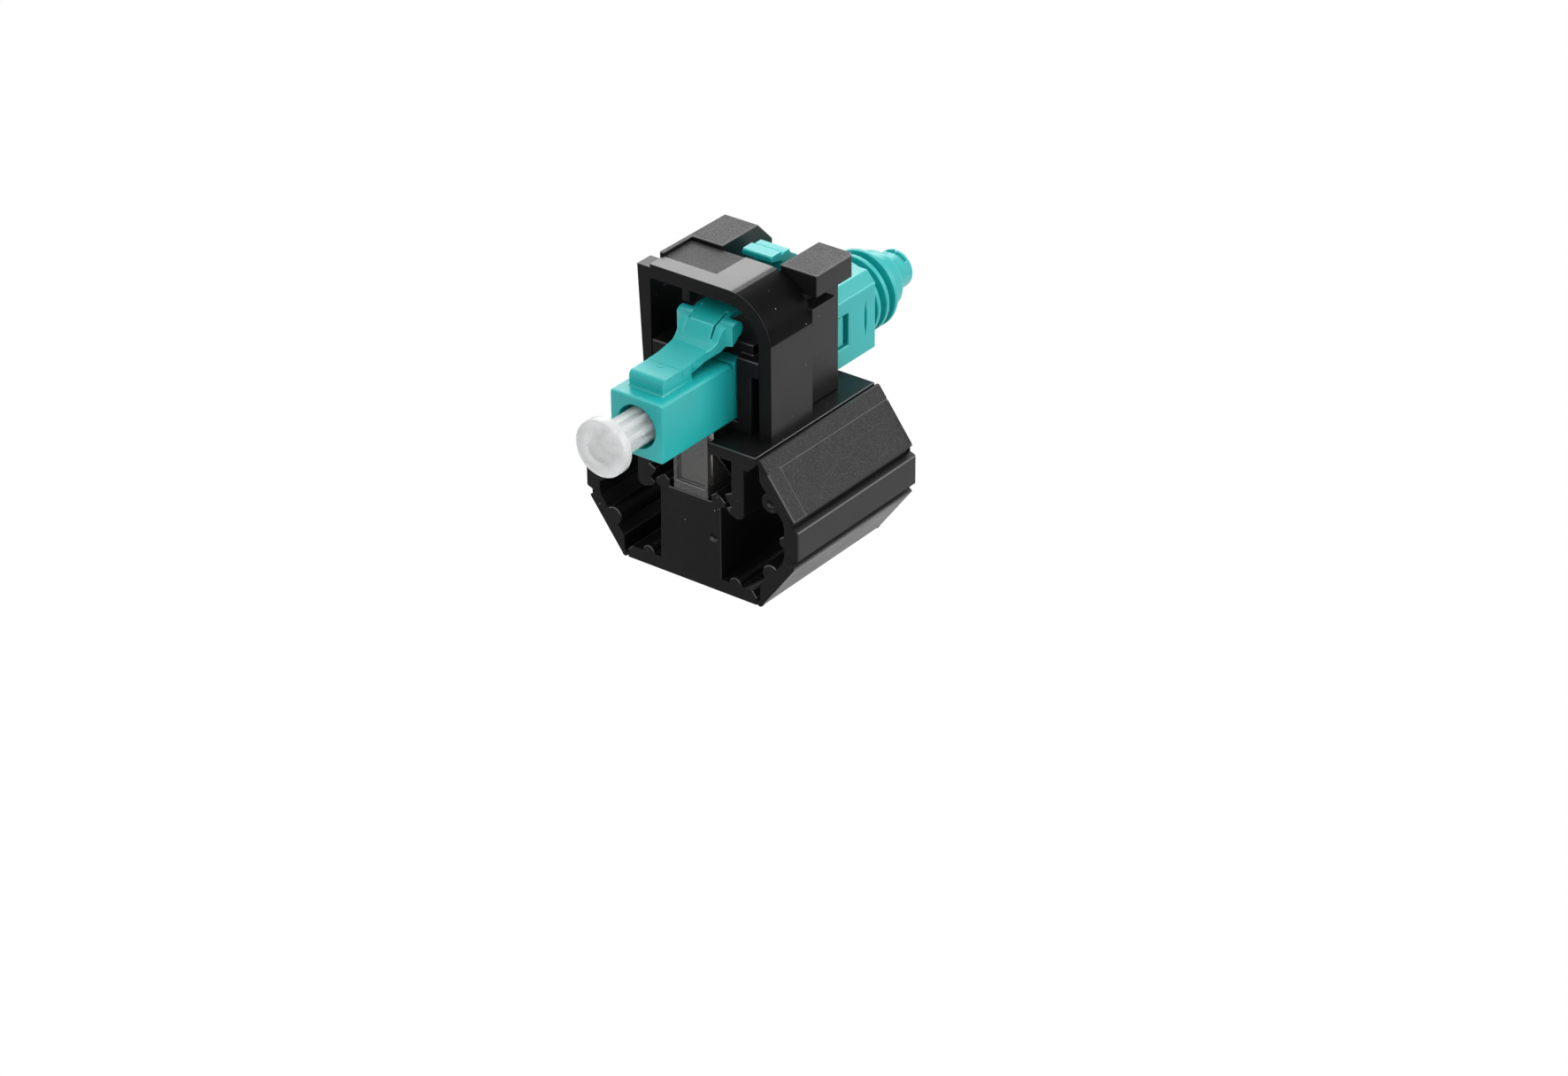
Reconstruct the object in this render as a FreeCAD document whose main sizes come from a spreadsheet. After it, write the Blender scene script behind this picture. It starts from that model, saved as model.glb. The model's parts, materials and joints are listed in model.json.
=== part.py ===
"""An LC fibre connector for field assembly, held in its squeeze-to-release assembly tool.

Millimetres. X is the width, Y the depth with the ferrule pointing to -Y, and Z is up.
The origin is the centre of the tool's bottom face. Each sub-part of the connector is drawn
about the ferrule axis and lifted to its height by its Placement.
"""

import FreeCAD, Part
import math
import os
import types

import Sketcher

SIZES = {
    # squeeze frame: one extruded section with film hinges at six corners
    "frame_depth": 13.92,
    "frame_height": 11.65,
    "corner_pivot_half": 6.0,
    "corner_pivot_inset": 0.25,
    "corner_knuckle_radius": 0.22,
    "hinge_gap": 0.05,
    "flank_run": 2.45,
    "flank_rise": 4.12,
    "grip_knuckle_radius": 0.3,
    "grip_proud": 0.9,
    "grip_web": 0.3,
    "grip_groove": 0.33,
    "floor_thickness": 1.05,
    "floor_bead_half": 3.85,
    "floor_bead_radius": 0.5,
    "notch_run": 0.39,
    "notch_root": 0.45,
    "flank_lip_out": 0.61,
    "flank_lip_drop": 0.38,
    "flank_heel": 0.2,
    "flank_inner_run": 0.84,
    "flank_inner_drop": 0.72,
    "flank_shoulder": 1.44,
    "lower_lobe_out": 0.95,
    "lower_lobe_rise": 2.7,
    "lower_lobe_radius": 0.68,
    "upper_lobe_out": 1.0,
    "upper_lobe_rise": 2.85,
    "upper_lobe_radius": 0.75,
    "ejector_dimple_radius": 0.28,
    "ejector_dimple_depth": 0.15,
    "grip_bead_radius": 0.45,
    # post with its two barbs
    "post_half": 2.65,
    "post_height": 7.0,
    "barb_tip_half": 3.05,
    "barb_land": 0.25,
    "barb_crest_half": 2.25,
    "barb_crest_rise": 0.85,
    "barb_shoulder_rise": 0.51,
    "barb_shoulder_half": 2.8,
    "barb_root_half": 1.85,
    # roof with its two catch legs
    "roof_thickness": 0.95,
    "roof_edge_thickness": 1.31,
    "roof_notch_run": 0.7,
    "leg_inner_half": 3.6,
    "leg_outer_half": 4.65,
    "leg_reach": 0.7,
    "leg_bump_half": 3.13,
    "leg_bump_ramp": 0.35,
    "leg_toe": 0.2,
    "leg_lower_bump_rise": 0.61,
    "leg_notch_rise": 0.92,
    "leg_upper_bump_rise": 1.6,
    "wedge_slot_half": 1.7,
    "wedge_slot_length": 12.5,
    # tower over the roof: yoke, side walls and left plate
    "tower_setback": 2.38,
    "yoke_depth": 4.72,
    "tower_gap": 0.08,
    "yoke_headroom": 0.27,
    "yoke_corner_radius": 3.7,
    "yoke_wall": 1.05,
    "yoke_panel_front": 1.48,
    "yoke_panel_right": -0.4,
    "yoke_panel_depth": 0.05,
    "left_plate_step": 0.25,
    "left_plate_foot_out": 0.62,
    "left_plate_head_out": 1.12,
    "left_plate_drop": 0.25,
    "left_plate_depth": 1.5,
    "side_wall_end": 7.42,
    "side_wall_rise": 5.24,
    "side_wall_sill_rise": 1.64,
    "nub_inner": 1.75,
    "nub_width": 0.65,
    "nub_drop": 1.0,
    "nub_depth": 0.9,
    # holder that grips the connector between its walls
    "holder_floor": 0.3,
    "holder_clearance": 0.05,
    "holder_wall": 1.2,
    "holder_slot_wall": 0.55,
    "holder_slot_rise": 1.44,
    "holder_wall_rise": 2.69,
    "holder_left_bar_rise": 1.84,
    "holder_collar_length": 0.95,
    "bridge_lead": 0.22,
    "bridge_wall": 0.25,
    "holder_end": 9.29,
    "lug_standoff": 1.25,
    "lug_overhang": 0.27,
    "left_lug_overhang": 0.12,
    "lug_drop": 1.0,
    "lug_proud": 0.25,
    "lug_gap": 0.1,
    "lug_chamfer": 1.4,
    "left_lug_length": 1.3,
    "left_lug_chamfer": 1.65,
    "lug_corner": 0.35,
    # release wedge
    "wedge_half": 1.5,
    "wedge_foot_thickness": 0.7,
    "wedge_front_thickness": 0.8,
    "wedge_nose_gap": 0.25,
    "wedge_inset": 0.06,
    "wedge_window_frame": 0.3,
    "wedge_window_depth": 0.25,
    "wedge_rib_half": 0.6,
    "wedge_rib_gap": 0.25,
    "wedge_gusset_width": 0.35,
    "wedge_gusset_run": 2.0,
    "wedge_gusset_rise": 2.9,
    "blade_half": 0.22,
    "blade_tip_half": 0.1,
    "blade_tip_drop": 0.75,
    "blade_tip_length": 0.5,
    "blade_length": 1.8,
    "front_blade_start": -1.4,
    "rear_blade_start": 1.9,
    "blade_clearance": 0.1,
    # connector, about the ferrule axis
    "connector_setback": 4.58,
    "nose_front": -12.69,
    "nose_half": 2.26,
    "nose_back_radius": 0.8,
    "nose_neck_inset": 0.08,
    "nose_end": -2.0,
    "nose_edge_radius": 0.25,
    "nose_bore_radius": 1.62,
    "seat_web_front": -9.3,
    "seat_web_thickness": 0.4,
    "seat_hole_radius": 0.8,
    "barrel_bore_radius": 1.75,
    "root_block_half": 1.45,
    "root_block_setback": 1.13,
    "root_block_rise": 1.16,
    "root_block_foot": 0.2,
    "tongue_thickness": 0.35,
    "tongue_half_height": 1.1,
    "tongue_end": 7.13,
    "hook_length": 1.1,
    "hook_recess": 0.15,
    # latch arm
    "latch_pivot": -8.4,
    "latch_knuckle_radius": 0.33,
    "latch_arm_half": 1.5,
    "latch_bend": -6.6,
    "latch_bend_height": 3.76,
    "latch_shoulder": -5.95,
    "latch_shoulder_height": 4.0,
    "latch_step": -5.35,
    "latch_step_height": 5.0,
    "latch_crown": -3.9,
    "latch_crown_height": 5.48,
    "latch_underside": -5.6,
    "latch_underside_height": 3.3,
    "latch_throat": -4.2,
    "latch_throat_height": 4.2,
    "latch_flare_half": 1.95,
    "latch_flare_start": -6.9,
    "latch_flare_end": -5.2,
    "latch_ear_half": 2.4,
    "latch_ear_inner": 1.2,
    "latch_ear_place": -4.5,
    "latch_ear_height": 4.72,
    "latch_ear_radius": 0.6,
    "latch_notch_width": 0.18,
    "latch_notch_drop": 0.85,
    "latch_tail_height": 5.55,
    "latch_tail_thickness": 0.5,
    "latch_tail_end": -0.8,
    "latch_smoothing": 0.9,
    # trigger
    "trigger_pivot": 4.9,
    "trigger_knuckle_radius": 0.32,
    "trigger_half": 1.25,
    "trigger_nose": -1.4,
    "trigger_nose_gap": 0.12,
    "trigger_nose_thickness": 0.6,
    "trigger_top": 7.75,
    "trigger_front": 0.88,
    "trigger_front_lean": 0.08,
    "trigger_lip": 0.45,
    "trigger_throat": 2.1,
    "trigger_groove": 2.05,
    "trigger_groove_run": 0.15,
    "trigger_groove_depth": 0.3,
    "trigger_rib_end": 3.05,
    "trigger_rib_drop": 0.15,
    "trigger_heel": 3.9,
    "trigger_heel_drop": 0.9,
    "trigger_wall": 0.75,
    # rear housing
    "rear_standoff": 0.23,
    "rear_length": 14.24,
    "rear_bore_gap": 0.08,
    "rear_wall": 0.61,
    "rear_floor": 0.42,
    "rear_roof": 0.86,
    "rear_chamfer_run": 0.75,
    "rear_chamfer_drop": 0.84,
    "tongue_play": 0.51,
    "window_length": 2.04,
    "window_bottom": -1.3,
    "window_top": 1.25,
    "slit_inset": 1.16,
    "slit_width": 0.26,
    "slit_depth": 0.3,
    "core_radius": 2.2,
    "flange_radius": 3.0,
    "flange_thickness": 0.38,
    "flange_pitch": 1.05,
    "flange_standoff": 0.46,
    "neck_standoff": 0.65,
    "neck_length": 1.15,
    "neck_radius": 2.42,
    "neck_end_radius": 2.28,
    "neck_taper": 0.3,
    "head_radius": 1.5,
    "head_length": 2.1,
    "head_rounding": 0.15,
    "bayonet_gate": 0.25,
    "bayonet_depth": 0.3,
    "bayonet_lip": 0.35,
    "bayonet_slot": 0.4,
    "fibre_entry_radius": 0.6,
    "fibre_entry_length": 3.0,
    "cable_room_radius": 1.1,
    # ferrule, its holder and the fibre stub
    "ferrule_radius": 0.625,
    "ferrule_proud": 1.71,
    "ferrule_seat": 1.2,
    "ferrule_chamfer": 0.12,
    "running_gap": 0.05,
    "flange_seat_thickness": 0.8,
    "holder_cup_radius": 1.35,
    "stub_radius": 0.0625,
    # mechanical splice
    "splice_front": -6.7,
    "splice_end": 4.9,
    "splice_radius": 1.3,
    "splice_parting": 0.04,
    "splice_mouth_half": 0.36,
    "splice_mouth_top": -0.45,
    "fibre_groove_radius": 0.08,
    "clamp_thickness": 0.2,
    "clamp_front": -5.5,
    "clamp_end": 4.4,
    "clamp_opening_half": 0.55,
    # spring, guide tube and its black retainer
    "retainer_gap": 0.11,
    "retainer_length": 1.1,
    "retainer_toe_length": 1.9,
    "retainer_toe_height": 0.6,
    "guide_standoff": 0.6,
    "guide_flare": 0.2,
    "guide_radius": 0.7,
    "guide_bore_radius": 0.3,
    "guide_reach": 1.5,
    "spring_radius": 1.1,
    "spring_wire_radius": 0.13,
    "spring_turns": 4,
    "spring_runs_per_turn": 14,
    "spring_wire_sides": 6,
    # dust cap
    "cap_reach": 4.21,
    "cap_rim_radius": 2.13,
    "cap_rim_thickness": 1.15,
    "cap_dome": 0.3,
    "cap_stem_radius": 1.32,
    "cap_stem_gap": 1.1,
    "cap_bore_radius": 0.67,
    "cap_tip_gap": 0.2,
    "cap_flute_radius": 0.2,
    "cap_flute_count": 10,
}

LEFT = -1
RIGHT = 1

Vector = FreeCAD.Vector


class Size:
    """A number together with the spreadsheet expression that drives it."""

    def __init__(self, number, text):
        self.number = number
        self.text = text

    def __add__(self, other):
        other = as_size(other)
        return Size(self.number + other.number, f"({self.text} + {other.text})")

    def __sub__(self, other):
        other = as_size(other)
        return Size(self.number - other.number, f"({self.text} - {other.text})")

    def __mul__(self, other):
        other = as_size(other)
        return Size(self.number * other.number, f"({self.text} * {other.text})")

    def __truediv__(self, other):
        other = as_size(other)
        return Size(self.number / other.number, f"({self.text} / {other.text})")

    def __neg__(self):
        return Size(-self.number, f"(0 - {self.text})")

    def __rmul__(self, other):
        return as_size(other) * self


def as_size(value):
    """Turns a plain number into a Size, and leaves a Size as it is."""
    if isinstance(value, Size):
        return value
    return Size(float(value), repr(float(value)))


def make_sheet(doc):
    """Writes the driving dimensions to a spreadsheet and returns them by name."""
    sheet = doc.addObject("Spreadsheet::Sheet", "Sizes")
    for row, (name, value) in enumerate(SIZES.items(), start=1):
        sheet.set(f"A{row}", name)
        sheet.set(f"B{row}", str(value))
        sheet.setAlias(f"B{row}", name)
    doc.recompute()
    return types.SimpleNamespace(
        **{name: Size(value, f"Sizes.{name}") for name, value in SIZES.items()}
    )


doc = FreeCAD.newDocument("lc_fibre_connector")
dim = make_sheet(doc)
zero = as_size(0)


frame_front = -dim.frame_depth / 2
frame_back = dim.frame_depth / 2
tower_front = frame_front + dim.tower_setback
connector_place = tower_front + dim.connector_setback
rear_bore_half = dim.nose_half + dim.rear_bore_gap
rear_bottom = rear_bore_half + dim.rear_floor
holder_floor_top = dim.frame_height + dim.holder_floor
axis_height = holder_floor_top + dim.holder_clearance + rear_bottom


def new_body(label, on_axis=False):
    """A body named after its node, set on the ferrule axis where it belongs to the connector."""
    body = doc.addObject("PartDesign::Body", label)
    body.Label = label
    if on_axis:
        set_on_axis(body)
    return body


def set_on_axis(piece):
    """Places a piece of the connector by its depth and the height of its axis."""
    piece.setExpression("Placement.Base.y", connector_place.text)
    piece.setExpression("Placement.Base.z", axis_height.text)


def new_sketch(body, plane_role, offset=zero):
    """An empty sketch on one of the body's origin planes, moved along the plane's normal."""
    sketch = body.newObject("Sketcher::SketchObject", f"{body.Label}_sketch")
    for plane in body.Origin.OriginFeatures:
        if plane.Role == plane_role:
            sketch.AttachmentSupport = [(plane, "")]
    sketch.MapMode = "FlatFace"
    sketch.setExpression("AttachmentOffset.Base.z", as_size(offset).text)
    return sketch


def fix_point(sketch, geometry, point, place):
    """Binds one point of the sketch to its two sizes."""
    for kind, value in (("DistanceX", place[0]), ("DistanceY", place[1])):
        value = as_size(value)
        index = sketch.addConstraint(
            Sketcher.Constraint(kind, -1, 1, geometry, point, value.number)
        )
        sketch.setExpression(f"Constraints[{index}]", value.text)


def draw_outline(sketch, points):
    """A closed outline of straight edges through the points."""
    places = [Vector(as_size(x).number, as_size(y).number, 0) for x, y in points]
    first = sketch.GeometryCount
    count = len(points)
    for index in range(count):
        line = Part.LineSegment(places[index], places[(index + 1) % count])
        sketch.addGeometry(line, False)
    for index in range(count):
        following = first + (index + 1) % count
        sketch.addConstraint(Sketcher.Constraint("Coincident", first + index, 2, following, 1))
    for index, point in enumerate(points):
        fix_point(sketch, first + index, 1, point)


def draw_box(sketch, low, high):
    """A rectangle from its low corner to its high corner."""
    draw_outline(sketch, [low, (high[0], low[1]), high, (low[0], high[1])])


def draw_circle(sketch, centre, radius):
    """A circle bound to its centre and radius."""
    radius = as_size(radius)
    place = Vector(as_size(centre[0]).number, as_size(centre[1]).number, 0)
    circle = Part.Circle(place, Vector(0, 0, 1), radius.number)
    geometry = sketch.addGeometry(circle, False)
    fix_point(sketch, geometry, 3, centre)
    index = sketch.addConstraint(Sketcher.Constraint("Radius", geometry, radius.number))
    sketch.setExpression(f"Constraints[{index}]", radius.text)


def extrude(body, sketch, kind, length, reverse):
    """A Pad or Pocket of the sketch."""
    feature = body.newObject(f"PartDesign::{kind}", f"{body.Label}_{kind.lower()}")
    feature.Profile = sketch
    feature.setExpression("Length", as_size(length).text)
    feature.Reversed = reverse
    return feature


def along_depth(body, kind, front, back, draw):
    """Pads or pockets a front-view drawing from its front place back along +Y."""
    front = as_size(front)
    sketch = new_sketch(body, "XZ_Plane", -front)
    draw(sketch)
    return extrude(body, sketch, kind, as_size(back) - front, kind == "Pad")


def along_width(body, kind, left, right, draw):
    """Pads or pockets a side-view drawing from its left place to its right place."""
    left = as_size(left)
    sketch = new_sketch(body, "YZ_Plane", left)
    draw(sketch)
    return extrude(body, sketch, kind, as_size(right) - left, kind == "Pocket")


def along_height(body, kind, bottom, top, draw):
    """Pads or pockets a plan-view drawing from its bottom to its top."""
    bottom = as_size(bottom)
    sketch = new_sketch(body, "XY_Plane", bottom)
    draw(sketch)
    return extrude(body, sketch, kind, as_size(top) - bottom, kind == "Pocket")


def turned(body, points):
    """Revolves a half outline of (place along Y, radius) points about the body's Y axis."""
    sketch = new_sketch(body, "YZ_Plane")
    draw_outline(sketch, points)
    feature = body.newObject("PartDesign::Revolution", f"{body.Label}_revolution")
    feature.Profile = sketch
    feature.ReferenceAxis = (sketch, ["H_Axis"])
    feature.Angle = 360
    return feature


def edges_along(feature, axis, **places):
    """Names of the straight edges that run along an axis through the given places."""
    doc.recompute()
    names = []
    for index, edge in enumerate(feature.Shape.Edges, start=1):
        ends = [vertex.Point for vertex in edge.Vertexes]
        if len(ends) != 2 or edge.Curve.TypeId != "Part::GeomLine":
            continue
        run = ends[1] - ends[0]
        if abs(abs(getattr(run, axis)) - run.Length) > 1e-6:
            continue
        middle = (ends[0] + ends[1]) / 2
        offsets = [getattr(middle, key) - as_size(value).number for key, value in places.items()]
        if all(abs(offset) < 1e-4 for offset in offsets):
            names.append(f"Edge{index}")
    return names


def dress(body, kind, base, edges, size):
    """A Fillet or Chamfer of the named edges."""
    feature = body.newObject(f"PartDesign::{kind}", f"{body.Label}_{kind.lower()}")
    feature.Base = (base, edges)
    bound = "Radius" if kind == "Fillet" else "Size"
    feature.setExpression(bound, as_size(size).text)
    return feature


roof_pivot_height = dim.frame_height - dim.corner_pivot_inset
lower_grip_pivot = dim.corner_pivot_inset + dim.flank_rise
upper_grip_pivot = roof_pivot_height - dim.flank_rise
panel_edge = dim.corner_pivot_half - dim.corner_knuckle_radius - dim.hinge_gap
grip_pivot_half = dim.corner_pivot_half + dim.flank_run


def make_base_plate():
    """The tool's floor and the post on it, with a barb on each side of its top."""
    body = new_body("base_plate")
    half_outline = [
        (panel_edge, zero),
        (panel_edge, dim.floor_thickness - dim.notch_root),
        (panel_edge - dim.notch_run, dim.floor_thickness),
        (dim.post_half, dim.floor_thickness),
        (dim.post_half, dim.post_height - dim.barb_land),
        (dim.barb_tip_half, dim.post_height - dim.barb_land / 2),
        (dim.barb_tip_half, dim.post_height + dim.barb_land),
        (dim.barb_shoulder_half, dim.post_height + dim.barb_shoulder_rise),
        (dim.barb_crest_half, dim.post_height + dim.barb_crest_rise),
        (dim.barb_root_half, dim.post_height + dim.barb_shoulder_rise),
        (dim.barb_root_half, dim.post_height),
    ]
    mirrored = [(-x, z) for x, z in reversed(half_outline)]
    along_depth(
        body, "Pad", frame_front, frame_back,
        lambda sketch: draw_outline(sketch, half_outline + mirrored),
    )
    for side in (LEFT, RIGHT):
        along_depth(
            body, "Pad", frame_front, frame_back,
            lambda sketch: draw_circle(
                sketch, (side * dim.floor_bead_half, dim.floor_thickness), dim.floor_bead_radius
            ),
        )
    along_depth(
        body, "Pocket", frame_front, frame_front + dim.ejector_dimple_depth,
        lambda sketch: draw_circle(
            sketch, (dim.post_half * 3 / 4, dim.post_height * 3 / 5), dim.ejector_dimple_radius
        ),
    )
    return body


def make_flank(label, side, upper):
    """One leaning panel between a corner hinge and a grip hinge, with its stop lobe."""
    body = new_body(label)

    def place(x, rise):
        height = dim.corner_pivot_inset + rise
        return (side * x, dim.frame_height - height if upper else height)

    corner = dim.corner_pivot_half
    grip = grip_pivot_half
    rise = dim.flank_rise
    outline = [
        place(corner, zero),
        place(corner + dim.flank_heel, -dim.flank_heel / 2),
        place(grip + dim.flank_lip_out, rise - dim.flank_lip_drop),
        place(grip + dim.grip_web, rise - dim.grip_web / 2),
        place(grip - dim.grip_web, rise + dim.hinge_gap),
        place(grip - dim.flank_inner_run, rise - dim.flank_inner_drop),
        place(corner + dim.hinge_gap, dim.flank_shoulder),
    ]
    along_depth(
        body, "Pad", frame_front, frame_back, lambda sketch: draw_outline(sketch, outline)
    )
    along_depth(
        body, "Pad", frame_front, frame_back,
        lambda sketch: draw_circle(sketch, place(corner, zero), dim.corner_knuckle_radius),
    )
    lobe_out = dim.upper_lobe_out if upper else dim.lower_lobe_out
    lobe_rise = dim.upper_lobe_rise if upper else dim.lower_lobe_rise
    lobe_radius = dim.upper_lobe_radius if upper else dim.lower_lobe_radius
    lobe = place(corner + lobe_out, lobe_rise)
    along_depth(
        body, "Pad", frame_front, frame_back,
        lambda sketch: draw_circle(sketch, lobe, lobe_radius),
    )
    if upper:
        along_depth(
            body, "Pocket", frame_front, frame_front + dim.ejector_dimple_depth,
            lambda sketch: draw_circle(sketch, lobe, dim.ejector_dimple_radius),
        )
    along_depth(
        body, "Pocket", frame_front, frame_back,
        lambda sketch: draw_circle(
            sketch, place(grip, rise), dim.grip_knuckle_radius + dim.hinge_gap
        ),
    )
    return body


def make_side_grip(label, side):
    """The upright panel that the fingers press, between its two grooves."""
    body = new_body(label)
    lower = lower_grip_pivot
    upper = upper_grip_pivot
    pivot = grip_pivot_half
    groove = dim.grip_groove
    outline = [
        (side * (pivot + dim.grip_proud), lower + groove),
        (side * (pivot + dim.grip_proud), upper - groove),
        (side * (pivot + dim.grip_web), upper - groove / 3),
        (side * (pivot - dim.grip_web), upper - groove * 2 / 3),
        (side * (pivot - dim.grip_web), lower + groove * 2 / 3),
        (side * (pivot + dim.grip_web), lower + groove / 3),
    ]
    along_depth(
        body, "Pad", frame_front, frame_back, lambda sketch: draw_outline(sketch, outline)
    )
    for height in (lower, upper):
        along_depth(
            body, "Pad", frame_front, frame_back,
            lambda sketch: draw_circle(sketch, (side * pivot, height), dim.grip_knuckle_radius),
        )
    along_depth(
        body, "Pad", frame_front, frame_back,
        lambda sketch: draw_circle(
            sketch, (side * (pivot - dim.grip_web), (lower + upper) / 2), dim.grip_bead_radius
        ),
    )
    return body


def make_roof():
    """The tool's top panel, with a catch leg on each side for the barbs, and the wedge's slot."""
    body = new_body("roof_plate")
    top = dim.frame_height
    toe = dim.post_height - dim.leg_reach
    lower_bump = toe + dim.leg_lower_bump_rise
    upper_bump = toe + dim.leg_upper_bump_rise
    half_outline = [
        (panel_edge, top),
        (panel_edge, top - dim.roof_edge_thickness + dim.roof_notch_run),
        (panel_edge - dim.roof_notch_run, top - dim.roof_edge_thickness),
        (dim.leg_outer_half, top - dim.roof_edge_thickness),
        (dim.leg_outer_half, toe + dim.leg_toe * 2),
        (dim.leg_outer_half - dim.leg_toe, toe + dim.leg_toe / 2),
        (dim.leg_outer_half - dim.leg_toe * 3, toe),
        (dim.leg_bump_half + dim.leg_toe, lower_bump - dim.leg_bump_ramp),
        (dim.leg_bump_half, lower_bump),
        (dim.leg_inner_half, toe + dim.leg_notch_rise),
        (dim.leg_bump_half, upper_bump - dim.leg_toe),
        (dim.leg_bump_half - dim.leg_toe / 2, upper_bump + dim.leg_toe / 2),
        (dim.leg_inner_half, upper_bump + dim.leg_bump_ramp),
        (dim.leg_inner_half, top - dim.roof_thickness),
    ]
    mirrored = [(-x, z) for x, z in reversed(half_outline)]
    along_depth(
        body, "Pad", frame_front, frame_back,
        lambda sketch: draw_outline(sketch, half_outline + mirrored),
    )
    along_height(
        body, "Pocket", top - dim.roof_thickness, top,
        lambda sketch: draw_box(
            sketch,
            (-dim.wedge_slot_half, frame_front),
            (dim.wedge_slot_half, frame_front + dim.wedge_slot_length),
        ),
    )
    return body


trigger_nose_top = dim.latch_tail_height + dim.trigger_nose_gap + dim.trigger_nose_thickness
yoke_back = tower_front + dim.yoke_depth
yoke_underside = axis_height + trigger_nose_top + dim.yoke_headroom
yoke_top = yoke_underside + dim.yoke_wall
rear_half = rear_bore_half + dim.rear_wall
rear_top = rear_bore_half + dim.rear_roof
holder_inner = rear_half + dim.holder_clearance
holder_wall_outer = holder_inner + dim.holder_wall
tower_half = holder_wall_outer + dim.tower_gap + dim.yoke_wall
left_plate_inner = tower_half - dim.left_plate_step
side_wall_top = axis_height + dim.side_wall_rise


def make_tower():
    """The yoke over the connector, its left plate, and the two low side walls behind it."""
    body = new_body("tower")
    foot = dim.frame_height
    inner = tower_half - dim.yoke_wall
    left_foot = left_plate_inner + dim.left_plate_foot_out
    left_head = left_plate_inner + dim.left_plate_head_out
    left_top = yoke_top - dim.left_plate_drop
    outline = [
        (tower_half, foot),
        (tower_half, yoke_top),
        (-left_plate_inner, yoke_top),
        (-left_plate_inner, left_top),
        (-left_head, left_top),
        (-left_foot, foot),
        (-left_plate_inner, foot),
        (-left_plate_inner, yoke_underside),
        (inner, yoke_underside),
        (inner, foot),
    ]
    yoke = along_depth(
        body, "Pad", tower_front, yoke_back, lambda sketch: draw_outline(sketch, outline)
    )
    outer_edge = edges_along(yoke, "y", x=tower_half, z=yoke_top)
    rounded = dress(body, "Fillet", yoke, outer_edge, dim.yoke_corner_radius)
    inner_edge = edges_along(rounded, "y", x=inner, z=yoke_underside)
    dress(body, "Fillet", rounded, inner_edge, dim.yoke_corner_radius - dim.yoke_wall)
    along_depth(
        body, "Pocket", tower_front + dim.left_plate_depth, yoke_back,
        lambda sketch: draw_box(
            sketch, (-left_head * 2, side_wall_top), (-left_plate_inner, yoke_top * 2)
        ),
    )
    along_height(
        body, "Pocket", yoke_top - dim.yoke_panel_depth, yoke_top,
        lambda sketch: draw_box(
            sketch, (-left_plate_inner, tower_front + dim.yoke_panel_front),
            (dim.yoke_panel_right, yoke_back),
        ),
    )
    sill = axis_height + dim.side_wall_sill_rise
    for near, far in ((inner, tower_half), (-left_foot, -left_plate_inner)):
        along_depth(
            body, "Pad", yoke_back, tower_front + dim.side_wall_end,
            lambda sketch: draw_box(sketch, (near, sill), (far, side_wall_top)),
        )
    nub_front = tower_front + (dim.yoke_wall - dim.nub_depth)
    along_depth(
        body, "Pad", nub_front, nub_front + dim.nub_depth,
        lambda sketch: draw_box(
            sketch, (-dim.nub_inner - dim.nub_width, yoke_underside - dim.nub_drop),
            (-dim.nub_inner, yoke_underside + dim.yoke_wall / 2),
        ),
    )
    return body


collar_inner = dim.nose_half + dim.holder_clearance
holder_back = tower_front + dim.holder_end
lug_front = yoke_back + dim.lug_gap
blade_starts = (dim.front_blade_start, dim.rear_blade_start)


def cut_blade_slots(body, bottom, top, place=zero):
    """Opens a floor for the two wedge blades."""
    half = dim.blade_half + dim.blade_clearance
    for start in (place + blade_start for blade_start in blade_starts):
        along_height(
            body, "Pocket", bottom, top,
            lambda sketch: draw_box(
                sketch, (-half, start - dim.blade_clearance),
                (half, start + dim.blade_length + dim.blade_clearance),
            ),
        )


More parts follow.
